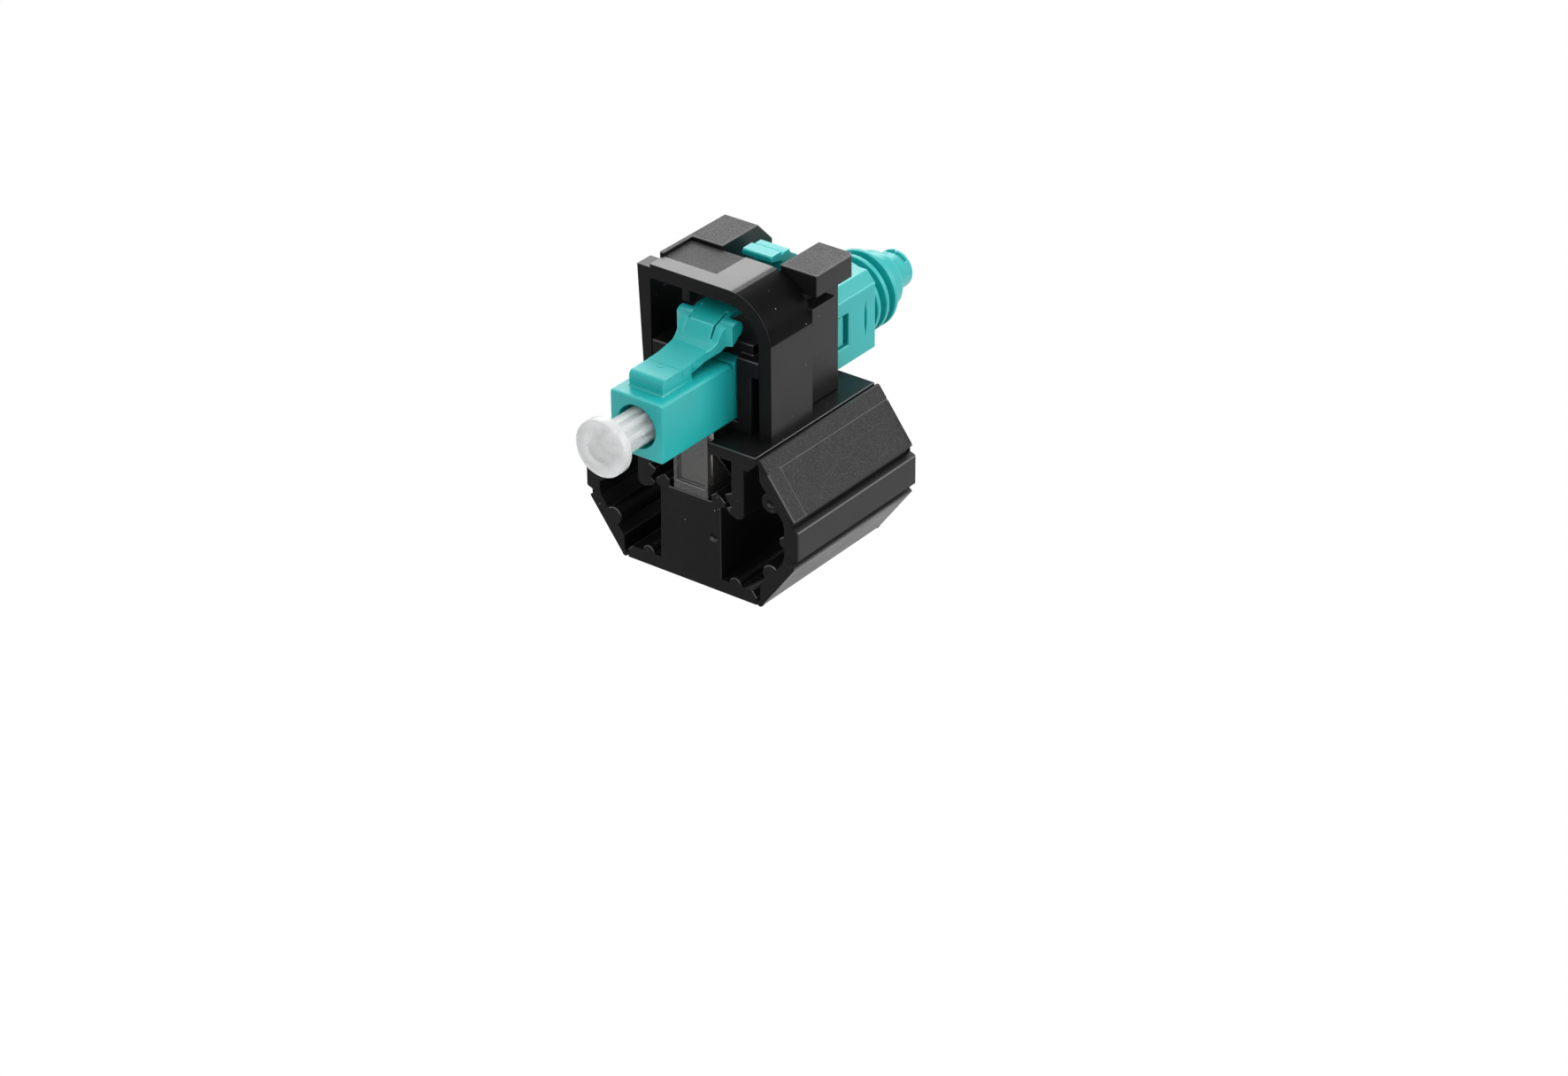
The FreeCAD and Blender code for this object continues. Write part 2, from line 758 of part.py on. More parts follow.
def make_holder():
    """The trough that grips the connector, with a finger lug on each side of the trigger."""
    body = new_body("connector_holder")
    foot = dim.frame_height
    wall = holder_wall_outer
    inner = holder_inner
    bar_end = left_plate_inner - dim.holder_clearance
    bar_top = axis_height + dim.holder_left_bar_rise
    wall_top = axis_height + dim.holder_wall_rise
    slot_top = axis_height + dim.holder_slot_rise
    slot_inner = inner + dim.holder_slot_wall
    front_outline = [
        (-slot_inner, foot),
        (-slot_inner, bar_top - dim.lug_chamfer),
        (-bar_end, bar_top - dim.lug_chamfer),
        (-bar_end, bar_top),
        (-inner, bar_top),
        (-inner, holder_floor_top),
        (inner, holder_floor_top),
        (inner, wall_top),
        (wall, wall_top),
        (wall, slot_top),
        (slot_inner, slot_top),
        (slot_inner, foot),
    ]
    along_depth(
        body, "Pad", tower_front, lug_front,
        lambda sketch: draw_outline(sketch, front_outline),
    )
    collar_back = tower_front + dim.holder_collar_length
    nose_bottom = axis_height - dim.nose_half - dim.holder_clearance
    collars = (
        ((collar_inner, holder_floor_top), (inner, wall_top)),
        ((-inner, holder_floor_top), (-collar_inner, bar_top)),
        ((-inner, holder_floor_top), (inner, nose_bottom)),
    )
    for low, high in collars:
        along_depth(
            body, "Pad", tower_front, collar_back, lambda sketch: draw_box(sketch, low, high)
        )
    bridge_bottom = axis_height + rear_top + dim.holder_clearance
    bridge_top = bridge_bottom + dim.bridge_wall
    bridge_outer = inner + dim.bridge_wall
    bridge_front = collar_back - dim.bridge_lead
    bridge_outline = [
        (bridge_outer, wall_top),
        (bridge_outer, bridge_top),
        (-bridge_outer, bridge_top),
        (-bridge_outer, bar_top),
        (-inner, bar_top),
        (-inner, bridge_bottom),
        (inner, bridge_bottom),
        (inner, wall_top),
    ]
    along_depth(
        body, "Pad", bridge_front, lug_front,
        lambda sketch: draw_outline(sketch, bridge_outline),
    )
    nose_top = axis_height + dim.nose_half + dim.holder_clearance
    along_depth(
        body, "Pad", bridge_front, collar_back,
        lambda sketch: draw_box(sketch, (-inner, nose_top), (inner, bridge_bottom)),
    )
    lug_bottom = yoke_underside - dim.lug_drop
    lug_top = yoke_top + dim.lug_proud
    lug_inner = dim.trigger_half + dim.lug_standoff
    lug_outer = tower_half + dim.lug_overhang
    left_lug_outer = tower_half + dim.left_lug_overhang
    rear_outline = [
        (-wall, foot),
        (-wall, lug_bottom),
        (-left_lug_outer, lug_bottom),
        (-left_lug_outer, lug_top),
        (-lug_inner, lug_top),
        (-lug_inner, lug_bottom),
        (-inner, lug_bottom),
        (-inner, holder_floor_top),
        (inner, holder_floor_top),
        (inner, lug_bottom),
        (lug_inner, lug_bottom),
        (lug_inner, lug_top),
        (lug_outer, lug_top),
        (lug_outer, lug_bottom),
        (wall, lug_bottom),
        (wall, foot),
    ]
    rear = along_depth(
        body, "Pad", lug_front, holder_back,
        lambda sketch: draw_outline(sketch, rear_outline),
    )
    corner_edge = edges_along(rear, "z", x=lug_outer, y=holder_back)
    dress(body, "Chamfer", rear, corner_edge, dim.lug_corner)
    left_back = holder_back + dim.left_lug_length
    longer = along_depth(
        body, "Pad", holder_back, left_back,
        lambda sketch: draw_box(sketch, (-left_lug_outer, lug_bottom), (-lug_inner, lug_top)),
    )
    left_edge = edges_along(longer, "x", y=left_back, z=lug_top)
    dress(body, "Chamfer", longer, left_edge, dim.left_lug_chamfer)
    strip_front = tower_front + dim.left_plate_depth + dim.holder_clearance
    along_depth(
        body, "Pad", strip_front, lug_front,
        lambda sketch: draw_box(
            sketch, (-left_lug_outer, side_wall_top + dim.holder_clearance),
            (-left_plate_inner - dim.holder_clearance, lug_top),
        ),
    )
    cut_blade_slots(body, foot, holder_floor_top, connector_place)
    return body


def make_wedge():
    """The clear wedge on the post: a foot, a front plate and two blades that open the splice."""
    body = new_body("release_wedge")
    foot = dim.post_height
    front = frame_front + dim.wedge_inset
    back = connector_place + dim.rear_blade_start + dim.blade_length
    foot_top = foot + dim.wedge_foot_thickness
    half = dim.wedge_half
    front_top = axis_height - dim.nose_half - dim.wedge_nose_gap
    rib_top = dim.frame_height - dim.wedge_rib_gap
    along_depth(
        body, "Pad", front, back,
        lambda sketch: draw_box(sketch, (-half, foot), (half, foot_top)),
    )
    along_depth(
        body, "Pad", front, front + dim.wedge_front_thickness,
        lambda sketch: draw_box(sketch, (-half, foot), (half, front_top)),
    )
    plate_back = front + dim.wedge_front_thickness
    gusset = [
        (plate_back, foot_top),
        (plate_back + dim.wedge_gusset_run, foot_top),
        (plate_back, foot_top + dim.wedge_gusset_rise),
    ]
    for side in (LEFT, RIGHT):
        along_width(
            body, "Pad", side * (half - dim.wedge_gusset_width), side * half,
            lambda sketch: draw_outline(sketch, gusset),
        )
    frame = dim.wedge_window_frame
    along_depth(
        body, "Pocket", front, front + dim.wedge_window_depth,
        lambda sketch: draw_box(
            sketch, (frame - half, foot_top), (half - frame, front_top - frame)
        ),
    )
    rib = dim.wedge_rib_half
    along_depth(
        body, "Pad", connector_place + dim.front_blade_start, back,
        lambda sketch: draw_box(sketch, (-rib, foot), (rib, rib_top)),
    )
    tip = axis_height - dim.blade_tip_drop
    shoulder = tip - dim.blade_tip_length
    blade = [
        (-dim.blade_half, rib_top),
        (-dim.blade_half, shoulder),
        (-dim.blade_tip_half, tip),
        (dim.blade_tip_half, tip),
        (dim.blade_half, shoulder),
        (dim.blade_half, rib_top),
    ]
    for start in (connector_place + blade_start for blade_start in blade_starts):
        along_depth(
            body, "Pad", start, start + dim.blade_length,
            lambda sketch: draw_outline(sketch, blade),
        )
    return body


nose_step = -dim.connector_setback - dim.holder_clearance
root_block_top = dim.nose_half + dim.root_block_rise
latch_pivot_height = root_block_top - dim.latch_knuckle_radius
tongue_outer = rear_bore_half - dim.running_gap
tongue_inner = tongue_outer - dim.tongue_thickness


def make_front_housing():
    """The square plug nose with its bore, the latch's root block and two snap tongues."""
    body = new_body("front_housing", on_axis=True)
    half = dim.nose_half
    nose = along_depth(
        body, "Pad", dim.nose_front, nose_step,
        lambda sketch: draw_box(sketch, (-half, -half), (half, half)),
    )
    back_edge = edges_along(nose, "x", y=nose_step, z=half)
    rounded = dress(body, "Fillet", nose, back_edge, dim.nose_back_radius)
    long_edges = []
    for x in (-half, half):
        for z in (-half, half):
            long_edges += edges_along(rounded, "y", x=x, z=z)
    dress(body, "Fillet", rounded, long_edges, dim.nose_edge_radius)
    neck = half - dim.nose_neck_inset
    along_depth(
        body, "Pad", nose_step, dim.nose_end,
        lambda sketch: draw_box(sketch, (-neck, -neck), (neck, neck)),
    )
    block_front = dim.nose_front + dim.root_block_setback
    block = along_width(
        body, "Pad", -dim.root_block_half, dim.root_block_half,
        lambda sketch: draw_box(
            sketch, (block_front, half / 2), (dim.latch_pivot, root_block_top)
        ),
    )
    block_foot = edges_along(block, "x", y=block_front, z=half)
    for x in (-dim.root_block_half, dim.root_block_half):
        block_foot += edges_along(block, "y", x=x, z=half)
    dress(body, "Fillet", block, block_foot, dim.root_block_foot)
    along_width(
        body, "Pocket", -dim.root_block_half, dim.root_block_half,
        lambda sketch: draw_circle(
            sketch, (dim.latch_pivot, latch_pivot_height),
            dim.latch_knuckle_radius + dim.hinge_gap,
        ),
    )
    for side in (LEFT, RIGHT):
        height = dim.tongue_half_height
        along_depth(
            body, "Pad", dim.nose_end - dim.hook_length, dim.tongue_end,
            lambda sketch: draw_box(
                sketch, (side * tongue_inner, -height), (side * tongue_outer, height)
            ),
        )
        along_depth(
            body, "Pad", dim.tongue_end - dim.hook_length, dim.tongue_end,
            lambda sketch: draw_box(
                sketch, (side * tongue_inner, -height), (side * (rear_half - dim.hook_recess), height)
            ),
        )
    bores = (
        (dim.nose_front, dim.seat_web_front, dim.nose_bore_radius),
        (dim.seat_web_front, dim.seat_web_front + dim.seat_web_thickness, dim.seat_hole_radius),
        (dim.seat_web_front + dim.seat_web_thickness, dim.nose_end, dim.barrel_bore_radius),
    )
    for front, back, radius in bores:
        along_depth(
            body, "Pocket", front, back,
            lambda sketch: draw_circle(sketch, (zero, zero), radius),
        )
    return body


def make_latch():
    """The sprung arm: it rises from its root to two ears and ends in a tail."""
    body = new_body("latch_arm", on_axis=True)
    pivot = dim.latch_pivot
    height = latch_pivot_height
    radius = dim.latch_knuckle_radius
    side_view = [
        (pivot, height + radius),
        (dim.latch_bend, dim.latch_bend_height),
        (dim.latch_shoulder, dim.latch_shoulder_height),
        (dim.latch_step, dim.latch_step_height),
        (dim.latch_crown, dim.latch_crown_height),
        (dim.latch_tail_end, dim.latch_tail_height),
        (dim.latch_tail_end, dim.latch_tail_height - dim.latch_tail_thickness),
        (dim.latch_throat, dim.latch_tail_height - dim.latch_tail_thickness),
        (dim.latch_throat, dim.latch_throat_height),
        (dim.latch_underside, dim.latch_underside_height),
        (pivot, height - radius),
    ]
    ear = dim.latch_ear_half
    arm = along_width(
        body, "Pad", -ear, ear, lambda sketch: draw_outline(sketch, side_view)
    )
    bends = []
    for place, rise in (
        (dim.latch_bend, dim.latch_bend_height),
        (dim.latch_shoulder, dim.latch_shoulder_height),
    ):
        bends += edges_along(arm, "x", y=place, z=rise)
    dress(body, "Fillet", arm, bends, dim.latch_smoothing)
    half = dim.latch_arm_half
    for side in (LEFT, RIGHT):
        flare = [
            (side * half, pivot - radius * 2),
            (side * half, dim.latch_flare_start),
            (side * dim.latch_flare_half, dim.latch_flare_end),
            (side * ear, dim.latch_ear_place - dim.latch_ear_radius),
            (side * ear * 2, dim.latch_ear_place - dim.latch_ear_radius),
            (side * ear * 2, pivot - radius * 2),
        ]
        along_height(
            body, "Pocket", zero, dim.latch_tail_height * 2,
            lambda sketch: draw_outline(sketch, flare),
        )
        along_height(
            body, "Pocket", zero, dim.latch_tail_height * 2,
            lambda sketch: draw_box(
                sketch, (side * half, dim.latch_ear_place),
                (side * ear * 2, dim.latch_tail_end + radius),
            ),
        )
        notch = side * (dim.latch_ear_inner - dim.latch_notch_width)
        along_height(
            body, "Pocket", dim.latch_step_height - dim.latch_notch_drop,
            dim.latch_tail_height * 2,
            lambda sketch: draw_box(
                sketch, (notch, dim.latch_shoulder - radius),
                (side * dim.latch_ear_inner, dim.latch_ear_place + dim.latch_ear_radius),
            ),
        )
        along_width(
            body, "Pad", side * dim.latch_ear_inner, side * ear,
            lambda sketch: draw_circle(
                sketch, (dim.latch_ear_place, dim.latch_ear_height), dim.latch_ear_radius
            ),
        )
    along_width(
        body, "Pad", -dim.root_block_half, dim.root_block_half,
        lambda sketch: draw_circle(sketch, (pivot, height), radius),
    )
    return body


rear_front = dim.holder_collar_length + dim.rear_standoff - dim.connector_setback
rear_back = rear_front + dim.rear_length
trigger_pivot_height = rear_top + dim.trigger_knuckle_radius
window_back = dim.tongue_end + dim.tongue_play
retainer_front = window_back + dim.retainer_gap
rear_bore_end = retainer_front + dim.retainer_length + dim.running_gap
neck_start = rear_back + dim.flange_standoff + dim.flange_pitch * 2 + dim.neck_standoff
neck_end = neck_start + dim.neck_length
head_start = neck_end + dim.neck_taper
head_end = head_start + dim.head_length


def make_trigger():
    """The stepped lever over the latch's tail, rooted on the rear housing."""
    body = new_body("trigger", on_axis=True)
    pivot = dim.trigger_pivot
    height = trigger_pivot_height
    radius = dim.trigger_knuckle_radius
    nose_bottom = dim.latch_tail_height + dim.trigger_nose_gap
    nose_top = trigger_nose_top
    wall = dim.trigger_wall
    top = dim.trigger_top
    rib_top = top - dim.trigger_rib_drop
    groove_end = dim.trigger_groove + dim.trigger_groove_run * 2
    heel_top = top - dim.trigger_heel_drop
    side_view = [
        (dim.trigger_nose, nose_bottom),
        (dim.trigger_nose, nose_top),
        (dim.trigger_throat, nose_top),
        (dim.trigger_throat, top - wall),
        (dim.trigger_front, top - dim.trigger_lip),
        (dim.trigger_front, top - dim.trigger_front_lean),
        (dim.trigger_front + dim.trigger_front_lean, top),
        (dim.trigger_groove, top),
        (dim.trigger_groove + dim.trigger_groove_run, top - dim.trigger_groove_depth),
        (groove_end, rib_top),
        (dim.trigger_rib_end, rib_top),
        (dim.trigger_rib_end + dim.trigger_front_lean, rib_top - dim.trigger_groove_depth),
        (dim.trigger_heel, heel_top),
        (pivot + radius, height),
        (pivot - radius, height),
        (dim.trigger_heel - wall, nose_bottom),
    ]
    along_width(
        body, "Pad", -dim.trigger_half, dim.trigger_half,
        lambda sketch: draw_outline(sketch, side_view),
    )
    along_width(
        body, "Pad", -dim.trigger_half, dim.trigger_half,
        lambda sketch: draw_circle(sketch, (pivot, height), radius),
    )
    return body


def make_rear_housing():
    """The rear body with side windows, three thin flanges, a neck and the slotted head."""
    body = new_body("rear_housing", on_axis=True)
    shoulder = rear_top - dim.rear_chamfer_drop
    top_half = rear_half - dim.rear_chamfer_run
    outline = [
        (-rear_half, -rear_bottom),
        (rear_half, -rear_bottom),
        (rear_half, shoulder),
        (top_half, rear_top),
        (-top_half, rear_top),
        (-rear_half, shoulder),
    ]
    along_depth(
        body, "Pad", rear_front, rear_back,
        lambda sketch: draw_outline(sketch, outline),
    )
    half_flange = dim.flange_thickness / 2
    turned_outline = [(rear_back - dim.slit_depth, zero)]
    turned_outline.append((rear_back - dim.slit_depth, dim.core_radius))
    for index in range(3):
        place = rear_back + dim.flange_standoff + index * dim.flange_pitch
        turned_outline += [
            (place - half_flange, dim.core_radius),
            (place - half_flange, dim.flange_radius),
            (place + half_flange, dim.flange_radius),
            (place + half_flange, dim.core_radius),
        ]
    turned_outline += [
        (neck_start, dim.core_radius),
        (neck_start, dim.neck_radius),
        (neck_end, dim.neck_end_radius),
        (head_start, dim.head_radius),
        (head_end - dim.head_rounding, dim.head_radius),
        (head_end, dim.head_radius - dim.head_rounding),
        (head_end, zero),
    ]
    turned(body, turned_outline)
    bore = rear_bore_half
    along_depth(
        body, "Pocket", rear_front, rear_bore_end,
        lambda sketch: draw_box(sketch, (-bore, -bore), (bore, bore)),
    )
    entry = head_end - dim.fibre_entry_length
    along_depth(
        body, "Pocket", rear_bore_end, entry,
        lambda sketch: draw_circle(sketch, (zero, zero), dim.cable_room_radius),
    )
    along_depth(
        body, "Pocket", entry, head_end,
        lambda sketch: draw_circle(sketch, (zero, zero), dim.fibre_entry_radius),
    )
    along_width(
        body, "Pocket", -rear_half, rear_half,
        lambda sketch: draw_box(
            sketch, (window_back - dim.window_length, dim.window_bottom),
            (window_back, dim.window_top),
        ),
    )
    slit_place = rear_back - dim.slit_inset
    slit_half = dim.slit_width / 2
    lens = [
        (slit_place, dim.window_bottom),
        (slit_place + slit_half, dim.window_bottom / 3),
        (slit_place + slit_half, dim.window_top / 3),
        (slit_place, dim.window_top),
        (slit_place - slit_half, dim.window_top / 3),
        (slit_place - slit_half, dim.window_bottom / 3),
    ]
    for near, far in (
        (rear_half - dim.slit_depth, rear_half),
        (-rear_half, -rear_half + dim.slit_depth),
    ):
        along_width(body, "Pocket", near, far, lambda sketch: draw_outline(sketch, lens))
    cut_bayonet(body)
    along_width(
        body, "Pocket", -dim.trigger_half, dim.trigger_half,
        lambda sketch: draw_circle(
            sketch, (dim.trigger_pivot, trigger_pivot_height),
            dim.trigger_knuckle_radius + dim.hinge_gap,
        ),
    )
    cut_blade_slots(body, -rear_bottom, -rear_bore_half)
    return body


def cut_bayonet(body):
    """Two slots round the head for the boot's studs, each with a gate to the open end."""
    slot_floor = dim.head_radius - dim.bayonet_depth
    slot_back = head_end - dim.bayonet_lip
    gate = dim.bayonet_gate / 2
    for side in (LEFT, RIGHT):
        slot = [
            (-side * slot_floor * 2 / 5, side * slot_floor * 6 / 7),
            (side * slot_floor * 2 / 7, side * slot_floor),
            (side * slot_floor * 3 / 4, side * slot_floor * 2 / 3),
            (side * dim.head_radius * 3 / 2, side * dim.head_radius * 4 / 3),
            (-side * dim.head_radius * 4 / 5, side * dim.head_radius * 12 / 7),
        ]
        along_depth(
            body, "Pocket", slot_back - dim.bayonet_slot, slot_back,
            lambda sketch: draw_outline(sketch, slot),
        )
        along_depth(
            body, "Pocket", slot_back, head_end,
            lambda sketch: draw_box(
                sketch, (-side * gate, side * slot_floor), (side * gate, side * dim.head_radius)
            ),
        )


seat_back = dim.seat_web_front + dim.seat_web_thickness
flange_front = seat_back + dim.running_gap
ferrule_tip = dim.nose_front - dim.ferrule_proud
ferrule_back = dim.splice_front - dim.ferrule_seat


def make_ferrule():
    """The ceramic ferrule with its fibre hole and chamfered tip."""
    body = new_body("ferrule", on_axis=True)
    turned(body, [
        (ferrule_tip, dim.stub_radius),
        (ferrule_tip, dim.ferrule_radius - dim.ferrule_chamfer),
        (ferrule_tip + dim.ferrule_chamfer, dim.ferrule_radius),
        (ferrule_back, dim.ferrule_radius),
        (ferrule_back, dim.stub_radius),
    ])
    return body


def make_ferrule_holder():
    """The flanged cup that carries the ferrule and the front of the splice."""
    body = new_body("ferrule_holder", on_axis=True)
    flange = dim.barrel_bore_radius - dim.running_gap
    flange_back = flange_front + dim.flange_seat_thickness
    turned(body, [
        (flange_front, dim.ferrule_radius),
        (flange_front, flange),
        (flange_back, flange),
        (flange_back, dim.holder_cup_radius),
        (dim.splice_front, dim.holder_cup_radius),
        (dim.splice_front, dim.stub_radius),
        (ferrule_back, dim.stub_radius),
        (ferrule_back, dim.ferrule_radius),
    ])
    return body


def make_fibre_stub():
    """The short fibre bonded into the ferrule and laid half way into the splice."""
    body = new_body("fibre_stub", on_axis=True)
    middle = (dim.splice_front + dim.splice_end) / 2
    turned(body, [
        (ferrule_tip, zero),
        (ferrule_tip, dim.stub_radius),
        (middle, dim.stub_radius),
        (middle, zero),
    ])
    return body


def make_splice_half(label, side):
    """Half a splice barrel with its fibre groove and one cheek of the wedge's mouth."""
    body = new_body(label, on_axis=True)
    along_depth(
        body, "Pad", dim.splice_front, dim.splice_end,
        lambda sketch: draw_circle(sketch, (zero, zero), dim.splice_radius),
    )
    reach = dim.splice_radius * 2
    parting = side * dim.splice_parting
    mouth = [
        (parting, reach),
        (parting, dim.splice_mouth_top),
        (side * dim.splice_mouth_half, -dim.splice_radius),
        (side * dim.splice_mouth_half, -reach),
        (-side * reach, -reach),
        (-side * reach, reach),
    ]
    along_depth(
        body, "Pocket", dim.splice_front, dim.splice_end,
        lambda sketch: draw_outline(sketch, mouth),
    )
    along_depth(
        body, "Pocket", dim.splice_front, dim.splice_end,
        lambda sketch: draw_circle(sketch, (zero, zero), dim.fibre_groove_radius),
    )
    return body


def make_splice_clamp():
    """The C-shaped spring clip round the two splice halves, open towards the wedge."""
    body = new_body("splice_clamp", on_axis=True)
    outer = dim.splice_radius + dim.clamp_thickness

    def draw_ring(sketch):
        draw_circle(sketch, (zero, zero), dim.splice_radius)
        draw_circle(sketch, (zero, zero), outer)

    along_depth(body, "Pad", dim.clamp_front, dim.clamp_end, draw_ring)
    opening = dim.clamp_opening_half
    along_depth(
        body, "Pocket", dim.clamp_front, dim.clamp_end,
        lambda sketch: draw_box(sketch, (-opening, -outer * 2), (opening, zero)),
    )
    return body


def make_spring():
    """The coil spring that pushes the splice and the ferrule forward, wound in short runs."""
    coil = doc.addObject("Part::Feature", "ferrule_spring")
    coil.Label = "ferrule_spring"
    wire = dim.spring_wire_radius.number
    radius = dim.spring_radius.number
    front = (dim.splice_end + dim.running_gap).number + wire
    back = (retainer_front - dim.running_gap).number - wire
    runs = int(round(dim.spring_turns.number * dim.spring_runs_per_turn.number))
    turn = 2 * math.pi / dim.spring_runs_per_turn.number
    places = [
        Vector(
            radius * math.sin(turn * step),
            front + (back - front) * step / runs,
            radius * math.cos(turn * step),
        )
        for step in range(runs + 1)
    ]
    along = (places[1] - places[0]).normalize()
    outward = Vector(0, 0, 1)
    across = along.cross(outward).normalize()
    sides = int(dim.spring_wire_sides.number)
    corners = [
        places[0]
        + outward * (wire * math.cos(2 * math.pi * side / sides))
        + across * (wire * math.sin(2 * math.pi * side / sides))
        for side in range(sides)
    ]
    section = Part.makePolygon(corners + [corners[0]])
    right_corners = 1
    coil.Shape = Part.makePolygon(places).makePipeShell([section], True, False, right_corners)
    set_on_axis(coil)
    return coil


def make_retainer():
    """The black block that seats the spring inside the rear housing, with a toe on each side."""
    body = new_body("spring_retainer", on_axis=True)
    back = retainer_front + dim.retainer_length
    half = rear_bore_half - dim.running_gap
    along_depth(
        body, "Pad", retainer_front, back,
        lambda sketch: draw_box(sketch, (-half, -half), (half, half)),
    )
    toe_low = -dim.tongue_half_height - dim.running_gap - dim.retainer_toe_height
    for side in (LEFT, RIGHT):
        along_depth(
            body, "Pad", retainer_front - dim.retainer_toe_length, back,
            lambda sketch: draw_box(
                sketch, (side * tongue_inner, toe_low),
                (side * half, toe_low + dim.retainer_toe_height),
            ),
        )
    along_depth(
        body, "Pocket", retainer_front, back,
        lambda sketch: draw_circle(sketch, (zero, zero), dim.guide_radius),
    )
    return body


def make_guide_tube():
    """The tube that leads the incoming fibre through the spring to the splice."""
    body = new_body("guide_tube", on_axis=True)
    front = dim.splice_end + dim.guide_standoff
    end = rear_bore_end + dim.guide_reach
    mouth = dim.guide_bore_radius + dim.guide_flare
    turned(body, [
        (front, dim.guide_bore_radius),
        (front, dim.guide_radius),
        (end, dim.guide_radius),
        (end, mouth),
        (end - dim.guide_radius, dim.guide_bore_radius),
    ])
    return body


def make_dust_cap():
    """The clear cap: a domed button on a fluted stem that slips over the ferrule."""
    body = new_body("dust_cap", on_axis=True)
    front = dim.nose_front - dim.cap_reach
    rim_back = front + dim.cap_rim_thickness
    stem_end = dim.seat_web_front - dim.cap_stem_gap
    bore_front = ferrule_tip - dim.cap_tip_gap
    turned(body, [
        (front, zero),
        (front, dim.cap_rim_radius - dim.cap_dome * 2),
        (front + dim.cap_dome, dim.cap_rim_radius),
        (rim_back, dim.cap_rim_radius),
        (rim_back, dim.cap_stem_radius),
        (stem_end, dim.cap_stem_radius),
        (stem_end, dim.cap_bore_radius),
        (bore_front, dim.cap_bore_radius),
        (bore_front, zero),
    ])
    sketch = new_sketch(body, "XZ_Plane", -rim_back)
    draw_circle(sketch, (dim.cap_stem_radius, zero), dim.cap_flute_radius)
    flute = extrude(body, sketch, "Pocket", stem_end - rim_back, False)
    doc.recompute()
    pattern = body.newObject("PartDesign::PolarPattern", "dust_cap_flutes")
    pattern.Originals = [flute]
    pattern.Axis = (sketch, ["N_Axis"])
    pattern.Angle = 360
    pattern.setExpression("Occurrences", dim.cap_flute_count.text)
    body.Tip = pattern
    return body


pieces = [
    make_base_plate(),
    make_flank("lower_flank_left", LEFT, False),
    make_flank("lower_flank_right", RIGHT, False),
    make_side_grip("side_grip_left", LEFT),
    make_side_grip("side_grip_right", RIGHT),
    make_flank("upper_flank_left", LEFT, True),
    make_flank("upper_flank_right", RIGHT, True),
    make_roof(),
    make_tower(),
    make_holder(),
    make_wedge(),
    make_front_housing(),
    make_latch(),
    make_trigger(),
    make_rear_housing(),
    make_ferrule(),
    make_ferrule_holder(),
    make_fibre_stub(),
    make_splice_half("splice_half_left", LEFT),
    make_splice_half("splice_half_right", RIGHT),
    make_splice_clamp(),
    make_spring(),
    make_retainer(),
    make_guide_tube(),
    make_dust_cap(),
]
doc.recompute()

failed = [item.Label for item in doc.Objects if {"Invalid", "Error"} & set(item.State)]
if failed:
    raise RuntimeError(f"these objects did not build: {failed}")
for piece in pieces:
    if piece.Shape.isNull() or not piece.Shape.isValid():
        raise RuntimeError(f"{piece.Label} has no valid shape")

os.makedirs("parts", exist_ok=True)
for piece in pieces:
    piece.Shape.exportStep(f"parts/{piece.Label}.step")
    box = piece.Shape.BoundBox
    print(
        f"{piece.Label}: {len(piece.Shape.Solids)} solid, {piece.Shape.Volume:.2f} mm3, "
        f"X {box.XMin:.2f} to {box.XMax:.2f}, Y {box.YMin:.2f} to {box.YMax:.2f}, "
        f"Z {box.ZMin:.2f} to {box.ZMax:.2f}"
    )
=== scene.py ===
"""Dresses the fibre connector and its squeeze tool, and sets up the studio and the camera."""

import json
import math

import bmesh
import bpy
from mathutils import Matrix, Vector
from mathutils.bvhtree import BVHTree


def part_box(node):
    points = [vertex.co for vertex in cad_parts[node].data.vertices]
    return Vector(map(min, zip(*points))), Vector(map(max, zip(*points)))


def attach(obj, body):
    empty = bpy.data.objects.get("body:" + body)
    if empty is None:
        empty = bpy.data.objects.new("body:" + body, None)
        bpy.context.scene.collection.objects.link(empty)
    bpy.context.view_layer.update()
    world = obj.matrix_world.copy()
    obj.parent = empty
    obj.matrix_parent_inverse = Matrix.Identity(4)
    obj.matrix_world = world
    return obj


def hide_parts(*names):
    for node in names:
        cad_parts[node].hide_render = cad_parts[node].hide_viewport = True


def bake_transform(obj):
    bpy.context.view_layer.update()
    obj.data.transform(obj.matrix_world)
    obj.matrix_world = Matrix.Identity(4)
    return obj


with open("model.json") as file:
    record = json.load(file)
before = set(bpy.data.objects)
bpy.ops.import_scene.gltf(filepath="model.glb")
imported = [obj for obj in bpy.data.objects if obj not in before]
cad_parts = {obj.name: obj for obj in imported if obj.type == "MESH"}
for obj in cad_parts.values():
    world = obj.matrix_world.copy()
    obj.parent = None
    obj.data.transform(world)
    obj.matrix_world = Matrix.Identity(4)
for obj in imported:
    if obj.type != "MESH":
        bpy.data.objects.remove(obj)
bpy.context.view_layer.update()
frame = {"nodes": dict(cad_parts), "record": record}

MM = 0.001


def middle_height(node):
    """How high the middle of a CAD node is, in millimetres."""
    low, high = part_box(node)
    return (low[2] + high[2]) / 2 / MM


AXIS = middle_height("ferrule")
NOSE_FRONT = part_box("front_housing")[0][1] / MM
WAVE_SCALE = 350.0
GLINT_SCALE = 10000.0
SCRATCH_SCALE = 12000.0
DUST_SCALE = 2600.0
DUST_PATCH_SCALE = 900.0


# Shader groups

